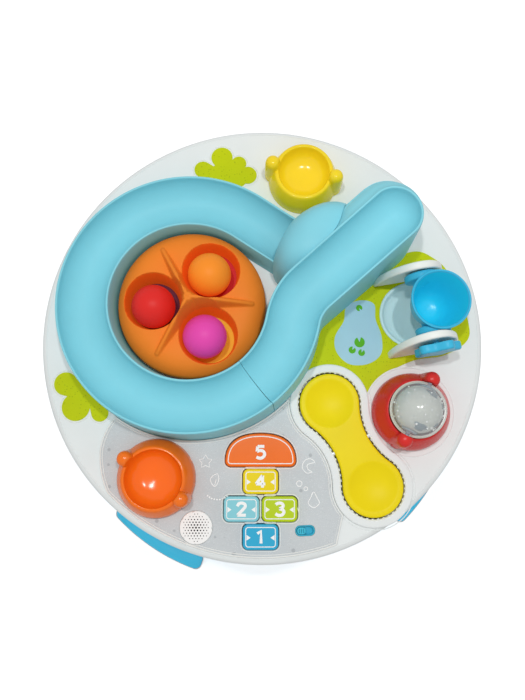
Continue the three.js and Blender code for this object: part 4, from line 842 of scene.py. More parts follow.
yellowBowl = {"base": 39.6, "rim": 32.6, "low": gap, "height": 29.7, "earTop": 40.5, "earReach": 36.3,
              "crest": 5.0, "hollow": dishHollow(29.0, 9.0, 31.4), "edge": 29.0}
orangeBowl = {"base": 42.5, "rim": 33.6, "low": 2.6, "height": 27.4, "earTop": 40.5, "earReach": 36.3,
              "crest": 1.0, "hollow": dishHollow(30.9, 7.6, 30.4), "edge": 30.9}
for name, measures in (("yellow", yellowBowl), ("orange", orangeBowl)):
    addPiece(name + "Bowl", bowlForm(**measures), "bowl" + name.title(), name + "_bowl",
             places[name + "Bowl"], 62)
print("bowls made")


# Rattle

rattle = {"axle": 42.0, "radius": 29.5, "room": 30.7, "coreLength": 34.0, "liner": 25.2, "reflectionReach": 25.6,
          "beads": 46}


def rattleHollow(r):
    lipReach = rattle["room"] - 0.4
    sphere = rattle["axle"] - np.sqrt(np.maximum(rattle["room"] ** 2 - r * r, 0))
    return np.where(r < lipReach, sphere, sphere + np.maximum(r - lipReach, 0) * 14)


def addToRattle(name, form, finish, node=None, sharp=40):
    addPiece(name, form, finish, node, places["rattle"], sharp, "rattle")


rattleCup = {"base": 42.5, "rim": 31.9, "low": gap, "height": 35.7, "earTop": 50.5, "earReach": 35.0,
             "crest": 1.0, "hollow": rattleHollow, "edge": 30.6}
addPiece("rattleCup", bowlForm(**rattleCup), "cupRed", "rattle_cup", places["rattle"], 62)
addToRattle("clearBall", lathe(arc(0, rattle["axle"], rattle["radius"], -quarterTurn, quarterTurn, 64)),
            "clear", "rattle_ball")

half = rattle["coreLength"] / 2
drumLine = [(0, -half), (9, -half), (10.5, -half + 0.8), (18, -6.4), (18, -5), (16.6, -4)]
drumLine += [(r, -z) for r, z in drumLine[::-1]]
addToRattle("rattleDrum", lying(lathe(drumLine, 72), rattle["axle"]), "silver", "rattle_core")

linerLine = arc(0, 0, rattle["liner"], -1.18, 1.18, 59)
low = linerLine[0][1]
linerLine = [(0, low + 2.2), (6.4, low + 1.8), (8.6, low), *linerLine, (8.6, -low), (6.4, -low - 1.8),
             (0, -low - 2.2)]
addToRattle("rattleLiner", lying(lathe(linerLine), rattle["axle"]), "liner", None, 50)

seamLine = [(27.4, -0.5), (28.6, -0.7), (29.9, -0.7), (30.1, -0.4), (30.1, 0.4), (29.9, 0.7), (28.6, 0.7),
            (27.4, 0.5), (27.4, -0.5)]
addToRattle("ballSeam", lathe([(r, rattle["axle"] + z) for r, z in seamLine], 120), "seam", None, 50)

reflectionPatches = []
for end, lift, wide in ((19.5, -0.25, 8.2), (-18.5, -0.36, 8.8), (12.0, -1.05, 4.2), (-9.0, -1.1, 4.4)):
    # a dark patch that follows the liner, a painted reflection
    across = math.sqrt(25.5 ** 2 - end ** 2)
    middle = np.array((end, across * math.sin(lift), across * math.cos(lift)))
    middle /= np.linalg.norm(middle)
    sideways = np.cross(middle, (1, 0, 0))
    sideways /= np.linalg.norm(sideways)
    upwards = np.cross(sideways, middle)
    rows = []
    for level, spread in ((25.0, 1.0), (25.55, 1.0), (25.6, 0.94), (25.6, 0.5)):
        row = []
        for t in np.linspace(0, fullTurn, 26, endpoint=False):
            out = wide * spread * (0.86 + 0.16 * math.sin(3 * t + end) + 0.1 * math.sin(5 * t))
            d = middle * rattle["reflectionReach"] + sideways * out * math.cos(t) + upwards * out * 0.72 * math.sin(t)
            row.append(d / np.linalg.norm(d) * level + (0, 0, rattle["axle"]))
        rows.append(row)
    reflectionPatches.append(skin(rows, True, True))
addToRattle("linerPaintedReflections", joined(reflectionPatches), "paintedReflection")

discs = []
for side in (-1, 1):
    points, faces = lathe([(0, 0), (7.4, 0), (8.6, 0.6), (8.6, 1.4), (7.6, 2.0), (3, 2.4), (0, 2.4)], 48)
    x, y, z = np.array(points).T
    discs.append((np.column_stack((side * (23.4 + z), y, x + rattle["axle"])), faces))
addToRattle("axleDiscs", joined(discs), "discGrey")

beadTree, start, end = newTree("beads", Radius=0.0011)
bead = wire(beadTree, "GeometryNodeMeshIcoSphere", {"Radius": start["Radius"], "Subdivisions": 2})
size = wire(beadTree, "FunctionNodeRandomValue", {2: 0.75, 3: 1.25, "Seed": 4}, data_type="FLOAT")
scatter(beadTree, end, "bead", Points=start["Geometry"], Instance=bead.outputs[0], Scale=size.outputs[1])
random = np.random.default_rng(7)
beadPoints = []
while len(beadPoints) < rattle["beads"]:
    d = random.normal(size=3)
    spot = d / np.linalg.norm(d) * random.uniform(25.6, 26.3)
    if abs(spot[0]) < 20 and all(np.linalg.norm(spot - q) > 3.3 for q in beadPoints):
        beadPoints.append(spot)
growPiece("rattleBeads", np.array(beadPoints) + (0, 0, rattle["axle"]), (), beadTree, "silver",
          places["rattle"], 60, "rattle")
print("rattle made")


# Tipping cup and its fins

swing = {"finLength": 75.0, "finHeight": 74.0, "finThickness": 8.0, "finEdge": 2.0, "spread": 87.0, "lean": 4.0,
         "axis": 48.0, "shift": 5.0, "tilt": 3.0, "offset": 8.2, "radius": 31.8, "rise": 22.0, "drop": 33.0,
         "wall": 2.6, "boss": 17.0, "pin": 3.4, "knob": 25.2, "knobThickness": 9.0, "well": 38.0,
         "wellDepth": 13.0, "nearer": 2.5, "neck": 11.0, "bossGap": 0.6}
finAt = {-1: swing["spread"] / 2 - swing["nearer"], 1: swing["spread"] / 2}
lean, tilt = math.radians(swing["lean"]), math.radians(swing["tilt"])
half = swing["finThickness"] / 2
finLine = arc(0, 0, swing["finLength"] / 2, 0, halfTurn, 63, swing["finHeight"])
finLine += [(x, 0.0) for x in np.linspace(-swing["finLength"] / 2, swing["finLength"] / 2, 24)[1:-1]]
turn = roundTop(half, swing["finEdge"], 5) + [(5.6, half), (6.4, half - 0.7)]
for name, side, node in (("finFront", -1, "swing_fin_front"), ("finRear", 1, "swing_fin_rear")):
    # the plate stands up: its outline in X and Z, its thickness in Y, and leans inwards
    points, faces = plate([finLine], [(d, -h) for d, h in turn[::-1]] + turn)
    x, z, y = np.array(points).T
    y, z = leant(-y, z, lean)
    fin = np.column_stack((x, side * (y + finAt[side]), np.maximum(z, gap)))
    addPiece(name, (fin, faces), "finWhite", node, places["swing"], 42)

cupShares = ((0, 0), (0.38, 0.04), (0.62, 0.19), (0.78, 0.46), (0.91, 0.78), (1, 1))
lip = swing["wall"] / 2
outer, inner = ([q for q in shareLine(cupShares, swing["radius"] - less, less - swing["drop"], swing["rise"])
                 if q[1] < swing["rise"] - lip] for less in (0, swing["wall"]))
rim = arc(swing["radius"] - lip, swing["rise"] - lip, lip, 0, halfTurn, 8)
cupParts = [lathe(outer + rim + inner[::-1], 128, swing["offset"])]
bossFaces = {side: finAt[side] - half - (swing["axis"] + swing["boss"]) * math.tan(lean) - swing["bossGap"]
             for side in (-1, 1)}
bossLine = ((0, 0), (0, 10.2), (1.2, 9.2), (4.4, 8.3), (6.2, 8), (7.1, 7.4), (7.6, 6.6), (7.6, 2.2),
            (7.1, 0.9), (5.9, 0.1), (5.2, 0))
for side, bossFace in bossFaces.items():
    rows = []
    for reach, back in bossLine:
        row = []
        for x, z in circleLoop(swing["neck"] + reach, 64):
            skinAt = math.sqrt(max(along(outer, z, True) ** 2 - (x - swing["offset"]) ** 2, 0)) - 1.2
            row.append((x, side * max(skinAt, bossFace - back if rows else 0), z))
        rows.append(row)
    cupParts.append(skin(rows, True, True))
pinRows = [[(x, y, z) for x, z in circleLoop(swing["pin"], 32)] for y in (bossFaces[1] - 2, finAt[1])]
cupParts.append(skin(pinRows, True, True))
points, faces = joined(cupParts)
x, y, z = np.array(points).T
x, z = leant(x, z, -tilt)
form = np.column_stack((x + swing["shift"], y, z + swing["axis"])), faces
cup = makePiece("tippingCup", form, "cupBlue", places["swing"], 45)
cup.data.materials.append(paint["rimBlue"])
for polygon in cup.data.polygons:
    # the outside and the rim are a deeper blue than the inside
    c = polygon.center / mm
    x, y = leant(c.x - places["swing"][0], c.y - places["swing"][1], -math.radians(places["swing"][2]))
    x, up = leant(x - swing["shift"], c.z - surfaceHeight - swing["axis"], tilt)
    if up > swing["rise"] - lip * 1.4 or math.hypot(x - swing["offset"], y) > along(inner, up, True) + 0.8:
        polygon.material_index = 1
hand(cup, "swing_cup", "tipping_cup")

lobes = [polar(swing["knob"] * (0.88 + 0.12 * math.cos(5 * math.radians(a))), a)
         for a in np.linspace(0, 360, 161)[:-1]]
knobFace = finAt[-1] + half - (swing["axis"] - swing["knob"]) * math.tan(lean) + swing["bossGap"]
under = [(d, knobFace - h) for d, h in roundTop(0, 1.2, 4)[::-1]]
low, high = bossFaces[-1] - 2.3, knobFace + 1
pinLine = [(0, low), (swing["pin"], low), (swing["pin"], high), (0, high)]
points, faces = joined([plate([lobes], under + roundTop(knobFace + swing["knobThickness"], 2.6, 6)),
                        lathe(pinLine, 32)])
x, y, z = np.array(points).T
form = np.column_stack((x + swing["shift"], -z, y + swing["axis"])), faces
addPiece("cupKnob", form, "rimBlue", "swing_knob", places["swing"], 42, "tipping_cup")

wellRoom = swing["well"] - 2.4
wellLine = arc(0, 0, wellRoom, -quarterTurn, 0, 19, swing["wellDepth"])
wellLine = [q for q in wellLine if q[0] < swing["well"] - 4.4]
wellLine += [(swing["well"] - less, up) for less, up in
             ((3.6, 0.5), (2.6, 1.25), (1.2, 1.3), (0.3, 0.9), (0, gap), (2.4, gap))]
wellLine += arc(0, 0, wellRoom, 0, -quarterTurn, 13, swing["wellDepth"] + 2)[1:]
addPiece("swingWell", lathe(wellLine, 128), "wellBlue", "swing_well", places["swing"])
print("tipping cup made")


# Seesaw

seesaw = {"lobe": 33.0, "half": 50.7, "waist": 20.5, "thickness": 10.0, "sink": 4.0, "dish": 26.5,
          "dishDepth": 7.0, "bezel": 11.0, "bezelHeight": 4.0, "clearance": 1.7, "wall": 2.0, "tub": 17.0}


def boneLoop(grown, steps=26):
    half, waist, lobe = seesaw["half"], seesaw["waist"], seesaw["lobe"]
    fillet = (half * half + waist * waist - lobe * lobe) / (2 * (lobe - waist))
    away = waist + fillet
    t = math.atan2(away, half)
    loop = []
    for side, start in ((1, 0), (-1, halfTurn)):
        loop += arc(side * half, 0, lobe + grown, start + t - halfTurn, start + halfTurn - t, steps * 2)[:-1]
        loop += arc(0, side * away, fillet - grown, start - t, start + t - halfTurn, steps)[:-1]
    return loop


plateTop = seesaw["thickness"] - seesaw["sink"]
sphere = (seesaw["dish"] ** 2 + seesaw["dishDepth"] ** 2) / (2 * seesaw["dishDepth"])


def seesawHeights(x, y):
    z = np.full(len(x), plateTop)
    for side in (-1, 1):
        d = np.hypot(x - side * seesaw["half"], y)
        deep = plateTop + sphere - seesaw["dishDepth"] - np.sqrt(np.maximum(sphere ** 2 - d ** 2, 0))
        z = softMin(np.where(d < seesaw["dish"] + 3, deep, 99), z, 0.9)
    return z


dishPoints = []
for side in (-1, 1):
    for d in [*np.linspace(2, 22, 9), 24, 25.2, 26, 26.5, 27, 27.6, 28.4]:
        dishPoints += circleLoop(d, 72 if d > 12 else 36, side * seesaw["half"])
    dishPoints.append((side * seesaw["half"], 0.0))
form = plate([boneLoop(0)], [(1.0, -seesaw["sink"]), (0.0, 1 - seesaw["sink"])] + roundTop(plateTop, 2.4, 7),
             seesawHeights, dishPoints)
addPiece("seesawPlate", form, "seesawYellow", "seesaw", places["seesaw"], 50, "seesaw")

room = boneLoop(seesaw["clearance"])
bezel = plate([boneLoop(seesaw["bezel"]), room[::-1]],
              [(0.8, -2.6), (0, -2.4)] + roundTop(seesaw["bezelHeight"], 1.8, 6))
tubLine = ((0.02, 2.2), (0.0, -seesaw["tub"]), (seesaw["wall"], -seesaw["tub"]), (seesaw["wall"], 0.5))
tubWall = skin([raised(boneLoop(seesaw["clearance"] + out), z) for out, z in tubLine])
tubFloor = sheet(region([room]), -seesaw["tub"] - seesaw["wall"], -seesaw["tub"])
addPiece("seesawBezel", joined([bezel, tubWall, tubFloor]), "shellWhite", "seesaw_bezel",
         places["seesaw"], close=False)

teethTree, start, end = newTree("teeth", Spacing=0.006, Length=0.0022, Width=0.0009, Height=0.0012)
path = wire(teethTree, "GeometryNodeMeshToCurve", {0: start["Geometry"]})
spots = wire(teethTree, "GeometryNodeCurveToPoints", {0: path.outputs[0], "Length": start["Spacing"]},
             mode="LENGTH")
size = wire(teethTree, "ShaderNodeCombineXYZ", {0: start["Width"], 1: start["Height"], 2: start["Length"]})
block = wire(teethTree, "GeometryNodeMeshCube",
             {"Size": size.outputs[0], "Vertices X": 3, "Vertices Y": 3, "Vertices Z": 4})
chance = wire(teethTree, "FunctionNodeRandomValue", {"Seed": 11, 2: 0.55, 3: 1.25}, data_type="FLOAT")
scatter(teethTree, end, "shellWhite", Points=spots.outputs["Points"], Instance=block.outputs[0],
        Rotation=spots.outputs["Rotation"], Scale=chance.outputs[1])
rim = boneLoop(seesaw["clearance"] - 0.25)
growPiece("recessTeeth", raised(rim, 2.3), [(i, (i + 1) % len(rim)) for i in range(len(rim))], teethTree,
          "shell_white", places["seesaw"])
print("seesaw made")


# Music panel

key = {"width": 38.4, "depth": 26.8, "corner": 6.0, "pitchX": 41.2, "pitchY": 29.2, "top": 6.8, "bottom": -4.2,
       "domeWidth": 77.0, "domeHeight": 36.0, "edge": 1.7, "clearance": 0.9, "lineInset": 3.3}
panelTop = 2.3


def halfRoundLoop(grown):
    half, peak, corner = key["domeWidth"] / 2 + grown, key["domeHeight"] + grown, key["corner"] + grown
    shoulder = (peak + grown) * 0.75

    def bezier(*corners):
        a, b, c, d = (np.array(p) for p in corners)
        return [tuple((1 - t) ** 3 * a + 3 * t * (1 - t) ** 2 * b + 3 * t * t * (1 - t) * c + t ** 3 * d)
                for t in np.linspace(0, 1, 23)[1:]]

    loop = [(x, -grown) for x in np.linspace(-half + corner, half - corner, 12)]
    loop += arc(half - corner, corner - grown, corner, -quarterTurn, 0, 8)[1:]
    loop += bezier((half, corner - grown), (half, shoulder), (half * 0.6, peak), (0, peak))
    loop += bezier((0, peak), (-half * 0.6, peak), (-half, shoulder), (-half, corner - grown))
    loop += arc(-half + corner, corner - grown, corner, halfTurn, halfTurn * 1.5, 8)[1:-1]
    return loop


def oblongKey(grown):
    return oblongLoop(key["width"] + grown * 2, key["depth"] + grown * 2, key["corner"] + grown)


# number, outline, place and colour of each button
keys = (
    ("1", oblongKey, (0.0, -2 * key["pitchY"], 0), "Blue"),
    ("2", oblongKey, (-key["pitchX"] / 2, -key["pitchY"], 0), "Teal"),
    ("3", oblongKey, (key["pitchX"] / 2, -key["pitchY"], 0), "Lime"),
    ("4", oblongKey, (0.0, 0.0, 0), "Yellow"),
    ("5", halfRoundLoop, (0.0, key["pitchY"] - key["depth"] / 2, 0), "Orange"),
)
numerals = {
    "1": [[(-3.2, 4.3), (0.5, 7.4), (0.5, -7.4)]],
    "2": [[(-4.2, 3.6), (-2.6, 6.7), (0.6, 7.5), (3.6, 5.9), (3.7, 2.7), (0.9, -1.3), (-4.2, -7.3)],
          [(-4.4, -7.3), (4.6, -7.3)]],
    "3": [[(-4.0, 5.6), (-1.8, 7.3), (1.4, 7.3), (3.5, 5.2), (2.9, 2.2), (-0.4, 0.7)],
          [(-0.4, 0.7), (3.3, -0.9), (4.3, -3.9), (2.4, -6.8), (-1.2, -7.5), (-4.4, -5.6)]],
    "4": [[(2.0, -7.4), (2.0, 7.5)], [(2.0, 7.5), (-4.7, -2.9)], [(-4.7, -2.9), (4.9, -2.9)]],
    "5": [[(3.9, 7.4), (-3.0, 7.4)], [(-3.0, 7.4), (-3.7, 0.9)],
          [(-3.7, 0.9), (-0.8, 2.3), (2.6, 1.4), (4.2, -1.9), (3.0, -5.6), (-0.4, -7.5), (-4.3, -6.0)]],
}
numeralShape = {"across": 1.05, "up": 0.86, "width": 3.3, "domeLift": 15.5}
arrowShape = {"tip": 10.6, "back": 15.0, "tall": 2.9, "low": -0.3, "high": 0.28}

for number, outline, (x, y, turn), colour in keys:
    slot, body, at = "key_" + colour.lower(), "key_" + number, places["buttons"]
    loop = carried(outline(0), (x, y, 0))
    addPiece("button" + number, plate([loop], [(0, key["bottom"])] + roundTop(key["top"], key["edge"], 6)),
             "key" + colour, "button_" + number, at, 42, body)
    line = raised(inset(loop, key["lineInset"]), key["top"] + 0.05)
    addLines("buttonLine" + number, [(line, True)], "ink", 1.0, 0.5, slot, at, body)
    lift = numeralShape["domeLift"] if number == "5" else 0.0
    strokes = []
    for stroke in numerals[number]:
        # straight strokes keep their corners and longer ones run through their points
        line = stroke if number == "1" or len(stroke) == 2 else smoothLoop(stroke, 6, False)
        line = [(x + p[0] * numeralShape["across"], y + lift + p[1] * numeralShape["up"]) for p in line]
        strokes.append((raised(line, key["top"] + 0.2), False))
    addLines("numeral" + number, strokes, "ink", numeralShape["width"], 0.5, slot, at, body)
    if number != "5":
        arrows = []
        for side in (-1, 1):
            tip, upper = (side * arrowShape["tip"], 0), (side * arrowShape["back"], arrowShape["tall"])
            flat = [upper, tip][::-side] + [(upper[0], -upper[1])]
            arrows.append(prism(carried(flat, (x, y - 0.5, 0)), key["top"] + arrowShape["low"],
                                key["top"] + arrowShape["high"]))
        addPiece("buttonArrows" + number, joined(arrows), "ink", None, at, body=body)
print("buttons made")

leftShares = [(-0.55, -0.27), (-0.6, -0.32), (-0.672, -0.39), (-0.713, -0.5), (-0.702, -0.62), (-0.66, -0.72),
              (-0.6, -0.79), (-0.56, -0.84)]
seesawX, seesawY, seesawTurn = places["seesaw"]
panelShape = smoothLoop(np.array(leftShares) * table["radius"], 10, False)
panelShape += [(-0.55 * table["radius"], -table["radius"]), (75, -table["radius"]), (87.5, -197.5)]
panelShape += [polar(side * seesaw["half"], seesawTurn, seesawX, seesawY) for side in (1, -1)] + [ringMiddle]
bone = carried(boneLoop(seesaw["bezel"] + gap), places["seesaw"])
rimLoop = circleLoop(table["flat"], 300)
footLoop = circleLoop(ring["foot"] + gap, 260, *ringMiddle)
grilleLoop = circleLoop(18.1, 72, *places["grille"][:2])
switchLoop = carried(oblongLoop(21.6, 11.6, 5.3), places["powerSwitch"])
keyLoops = [carried(carried(outline(key["clearance"]), at), places["buttons"])
            for number, outline, at, colour in keys]


def onPanel(x, y):
    return (within(x, y, panelShape, bone, grilleLoop, switchLoop, *keyLoops)
            & (np.hypot(x, y) < table["flat"]) & (fromRing(x, y) > ring["foot"] + gap))


def biggestPart(form):
    # the faces of a form's largest connected part
    owner = list(range(len(form[0])))

    def root(i):
        while owner[i] != i:
            owner[i] = owner[owner[i]]
            i = owner[i]
        return i

    for face in form[1]:
        for i in face[1:]:
            owner[root(i)] = root(face[0])
    roots = [root(i) for i in range(len(owner))]
    main = max(set(roots), key=roots.count)
    return [f for f in form[1] if roots[f[0]] == main]


panelArea = region([panelShape, rimLoop, footLoop, bone, grilleLoop, switchLoop] + keyLoops, onPanel)
flat = sheet(panelArea, gap, panelTop)
panelFaces = biggestPart(flat)
addPiece("musicPanel", (flat[0], panelFaces), "panelGrey", "music_panel", sharp=30)


def borderPaths(inward):
    # the panel's own outer edge, moved in and bent round the speaker grille
    count = len(flat[0]) // 2
    paths, edges = [], {}
    for f in panelFaces:
        if len(f) == 3 and max(f) < count:
            for e in zip(f, f[1:] + f[:1]):
                k = tuple(sorted(e))
                edges[k] = None if k in edges else e
    follow = {e[0]: e[1] for e in edges.values() if e}
    grilleMiddle, grilleReach = np.array(places["grille"][:2]), 18.8
    while follow:
        loop = [next(iter(follow))]
        at = follow.pop(loop[0])
        while at in follow:
            loop.append(at)
            at = follow.pop(at)
        p = inset([flat[0][i][:2] for i in loop], inward)
        away = p - grilleMiddle
        reach = np.linalg.norm(away, axis=1)[:, None]
        p = np.where(reach < grilleReach, grilleMiddle + away / reach * grilleReach, p)
        if len(loop) > 20 and np.ptp(p[:, 0]) > 120:
            paths.append((raised(p, panelTop), True))
    return paths


addLines("panelEdgeLine", borderPaths(0.9), "panelEdge", 1.6, 1.1, "panel_grey")
addLines("panelInnerLine", borderPaths(3.4), "panelEdge", 0.9, 0.6, "panel_grey")
surrounds = [(raised(inset(loop[::-1], 0.9), panelTop), True) for loop in keyLoops]
addLines("buttonSurrounds", surrounds, "panelEdge", 1.2, 0.9, "panel_grey")

motifs = [
    ([polar(4.1 if i % 2 else 7.4, 90 + 36 * i, -62.0, -139.5) for i in range(10)], True),
    (smoothLoop([(-52.0, -166.0), (-47.5, -160.0), (-49.0, -152.5), (-56.5, -158.0)]), True),
    ([(-51.8, -165.0), (-50.2, -158.5)], False),
    (smoothLoop([(57.5, -140.0), (52.0, -136.0), (46.0, -139.0), (44.0, -146.0), (48.5, -151.5),
                 (54.5, -150.5), (50.0, -147.5), (49.8, -142.5)]), True),
    (circleLoop(3.0, 28, 40.5, -163.0), True),
    (circleLoop(2.0, 24, 47.5, -168.5), True),
    (smoothLoop([(56.0, -172.0), (59.5, -178.0), (62.0, -184.0), (56.0, -188.5), (50.0, -184.0),
                 (52.5, -178.0)]), True),
    ([(33.0, -189.0), (36.0, -197.0)], False),
    ([(38.0, -188.0), (40.0, -194.5)], False),
]
for a in np.radians(np.arange(214, 331, 13)):
    motifs.append((circleLoop(0.55, 10, -48.0 + 13.5 * math.cos(a), -170.5 + 9.5 * math.sin(a)), True))
motifs = [(raised(line, panelTop + 0.02), closed) for line, closed in motifs]
addLines("panelMotifs", motifs, "ink", 0.85, 0.35, "panel_grey")

at = places["powerSwitch"]
addPiece("switchSeat", plate([oblongLoop(21.0, 11.0, 5.0), oblongLoop(18.6, 8.6, 3.9)[::-1]],
                             [(0, -7), (0, panelTop - 0.3), (0.25, panelTop)]), "switchBlue",
         "switch_seat", at)
addPiece("switchSeatFloor", plate([oblongLoop(18.8, 8.8, 3.7)], [(0, -7), (0, -5.8)]), "switchBlue",
         None, at)
slider = [plate([carried(oblongLoop(9.4, 7.4, 3.2), (-4.0, 0, 0))], [(0, -5.2)] + roundTop(4.2, 0.9, 5))]
for x in (-6.4, -4.0, -1.6):
    slider.append(plate([carried(oblongLoop(0.9, 5.2, 0.4, 4), (x, 0, 0))], [(0, 3.6)] + roundTop(4.5, 0.3, 3)))
addPiece("powerSlider", joined(slider), "switchBlue", "power_switch", at, 42, "switch")

grille = {"face": 16.9, "low": 2.2, "top": 3.3, "collar": 17.8, "pitch": 3.3, "reach": 15.0, "middleHole": 1.12,
          "edgeHole": 0.5}
grilleHoles = []
for row in range(-6, 7):
    for column in range(-6, 7):
        x, y = grille["pitch"] * (column + row % 2 / 2), grille["pitch"] * math.sqrt(0.75) * row
        reach = math.hypot(x, y) / grille["reach"]
        if reach < 1:
            size = grille["middleHole"] + (grille["edgeHole"] - grille["middleHole"]) * reach
            grilleHoles.append(circleLoop(size, 10, x, y))
face = region([circleLoop(grille["face"], 96)] + grilleHoles, None, circleLoop(grille["face"] - 0.5, 96))
collar = lathe([(grille["face"], gap), (grille["collar"], gap), (grille["collar"], 2.5), (17.5, 3.0),
                (grille["face"], grille["top"]), (grille["face"], grille["low"])])
addPiece("speakerGrille", joined([sheet(face, grille["low"], grille["top"]), collar]), "ink",
         "speaker_grille", places["grille"], 35)
# painted shade: a dark disc just under the grille face, so that the holes read dark
shadeLow, shadeHigh = gap + 0.35, gap + 0.55
addPiece("grilleHoleShade", lathe([(0, shadeLow), (16.6, shadeLow), (16.6, shadeHigh), (0, shadeHigh)], 48),
         "darkHole", None, places["grille"])
print("music panel made")


# Grass, pond and bushes

grassShares = [(0.65, 0.385), (0.8, 0.36), (0.885, 0.24), (0.935, 0.07), (0.925, -0.02), (0.82, -0.085),
               (0.68, -0.11), (0.52, -0.19), (0.468, -0.275), (0.4, -0.2), (0.22, -0.16), (0.12, -0.12),
                (0.3, 0.15)]
pondShares = [(0.45, 0.168), (0.51, 0.15), (0.515, 0.08), (0.54, 0), (0.535, -0.08), (0.475, -0.125),
              (0.39, -0.125), (0.335, -0.07), (0.33, 0), (0.37, 0.07), (0.385, 0.14)]
grassLoop = smoothLoop(np.array(grassShares) * table["radius"], 12)
pondLoop = smoothLoop(np.array(pondShares) * table["radius"], 10)
zones = [grassLoop, circleLoop(51.3, 120, *places["rattle"][:2]), circleLoop(38.2, 120, *places["swing"][:2]),
         pondLoop, carried(boneLoop(seesaw["bezel"] - 3), places["seesaw"])]
inlay = {"low": 0.05, "high": 0.9, "pondHigh": 0.75}
grassArea = region(zones, lambda x, y: within(x, y, *zones) & (np.hypot(x, y) < table["flat"]))
addPiece("grassInlay", sheet(grassArea, inlay["low"], inlay["high"]), "lime", "grass_inlay", sharp=30)
addPiece("pondInlay", sheet(region([pondLoop]), inlay["low"], inlay["pondHigh"]), "pondBlue",
         "pond_inlay", sharp=30)

lilies = []
for x, y, radius, turn in ((110.5, 33.0, 3.6, 300), (110.0, -6.5, 5.9, 95), (101.5, -15.4, 4.0, 60),
                           (112.0, -18.4, 3.8, 70)):
    leaf = [(x, y)] + arc(x, y, radius, math.radians(turn + 20), math.radians(turn + 340), 35)
    lilies.append(prism(leaf, 0.5, 1.05))
addPiece("lilyLeaves", joined(lilies), "lilyGreen", sharp=30)

# name, node, middle and lobes, as shares of the table's radius
bushes = (
    ("bushRear", "bush_inlay_rear", (-0.16, 0.77), (
        (-0.19, 0.86, 0.05), (-0.279, 0.8, 0.04), (-0.11, 0.83, 0.035), (-0.068, 0.772, 0.042),
        (-0.18, 0.765, 0.07), (-0.12, 0.76, 0.05))),
    ("bushLeft", "bush_inlay_left", (-0.775, -0.28), (
        (-0.878, -0.215, 0.052), (-0.829, -0.318, 0.062), (-0.721, -0.345, 0.038), (-0.77, -0.25, 0.075),
        (-0.7, -0.28, 0.05))),
)
lipLines = []
for name, node, middle, lobes in bushes:
    middle, lobes = np.array(middle) * table["radius"], np.array(lobes) * table["radius"]
    loop = unionLoop(*middle, lobes)
    area = region([loop], lambda x, y: isInside(loop, x, y) & (fromRing(x, y) > 140))
    addPiece(name, sheet(area, inlay["low"], inlay["high"]), "lime", node, sharp=30)
    line = [p for p in raised(unionLoop(*middle, lobes + (0, 0, 1.9)), 0.0) if fromRing(p[0], p[1]) > 146]
    turns = max(range(len(line)), key=lambda i: math.dist(line[i], line[i - 1]))
    lipLines.append((line[turns:] + line[:turns], False))
lipLines.append((raised(circleLoop(49.4, 140, *places["rattle"][:2]), 0.0), True))
lipLines.append((raised(carried(boneLoop(seesaw["bezel"] + 2.6), places["seesaw"]), 0.0), True))
addLines("surfaceLips", lipLines, "shellWhite", 1.1, 0.9, "shell_white")
print("inlays made")


# Table top, tray and legs

shoulder, radius = table["shoulder"], table["radius"]
shell = {"thickness": 3.0, "inner": 11.0, "lip": 0.5, "trayDepth": 38.0, "trayRoom": 35.0, "traySeam": 16.3,
         "trayEdge": 0.6, "trayCorner": 14.0, "screwRing": 196.0, "screwHeight": -37.4}
rimEdge = [(shell["inner"], -3), (3.2, -10), (3, -16), (0.4, -16), (0, -15.6), (0, -8)]
rimEdge += roundTop(0, shoulder, 12)[1:] + [(shoulder + shell["lip"], 0.0)]
holes = [carried(boneLoop(seesaw["clearance"] + seesaw["wall"] + gap), places["seesaw"]),
         circleLoop(35.9, 96, *places["swing"][:2]), circleLoop(15.8, 60, *places["grille"][:2]), switchLoop]
holes += keyLoops
rimCircle = circleLoop(radius, 256)
parts = [skin([raised(inset(rimCircle, inward), height) for inward, height in rimEdge])]
for inward, height in ((shoulder + shell["lip"], 0.0), (shell["inner"], -shell["thickness"])):
    xy, triangles = region([inset(rimCircle, inward)] + holes)
    parts.append((raised(xy, height), triangles.tolist()))
parts += [skin([raised(hole, 0.0), raised(hole, -shell["thickness"])]) for hole in holes]
addPiece("topShell", joined(parts), "shellWhite", "top_shell", sharp=30)
rimLine = raised(circleLoop(radius - 6.2, 256), -0.12)
rimMark = [(-3.4, -243.6, -0.05), (-3.4, -234.8, 0.05)]
addLines("rimLine", [(rimLine, True)], "shellWhite", 0.9, 0.7, "shell_white")
addLines("rimMark", [(rimMark, False)], "shellWhite", 0.8, 0.7, "shell_white")

edge, corner = radius - shell["trayEdge"], shell["trayCorner"]
trayLine = [(0, -shell["trayDepth"]), (edge - corner, -shell["trayDepth"])]
trayLine += arc(edge - corner, -shell["traySeam"], corner, -quarterTurn, 0, 12,
                shell["trayDepth"] - shell["traySeam"])[1:]
trayLine += [(edge - 3, -shell["traySeam"]), (edge - 6, -30), (edge - 17, -shell["trayRoom"]),
             (0, -shell["trayRoom"])]
tray = makePiece("bottomTray", lathe(trayLine, 256), "trayWhite", sharp=30)
low, high = (np.array(c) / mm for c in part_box("battery_door"))
width, depth = (high - low)[:2] + gap * 2
door = carried(oblongLoop(width, depth, 2.3), (*((low + high) / 2)[:2], 0))
carve(tray, plate([door], [(0, -44), (0, -30)]), sharp=30)
hand(tray, "bottom_shell")

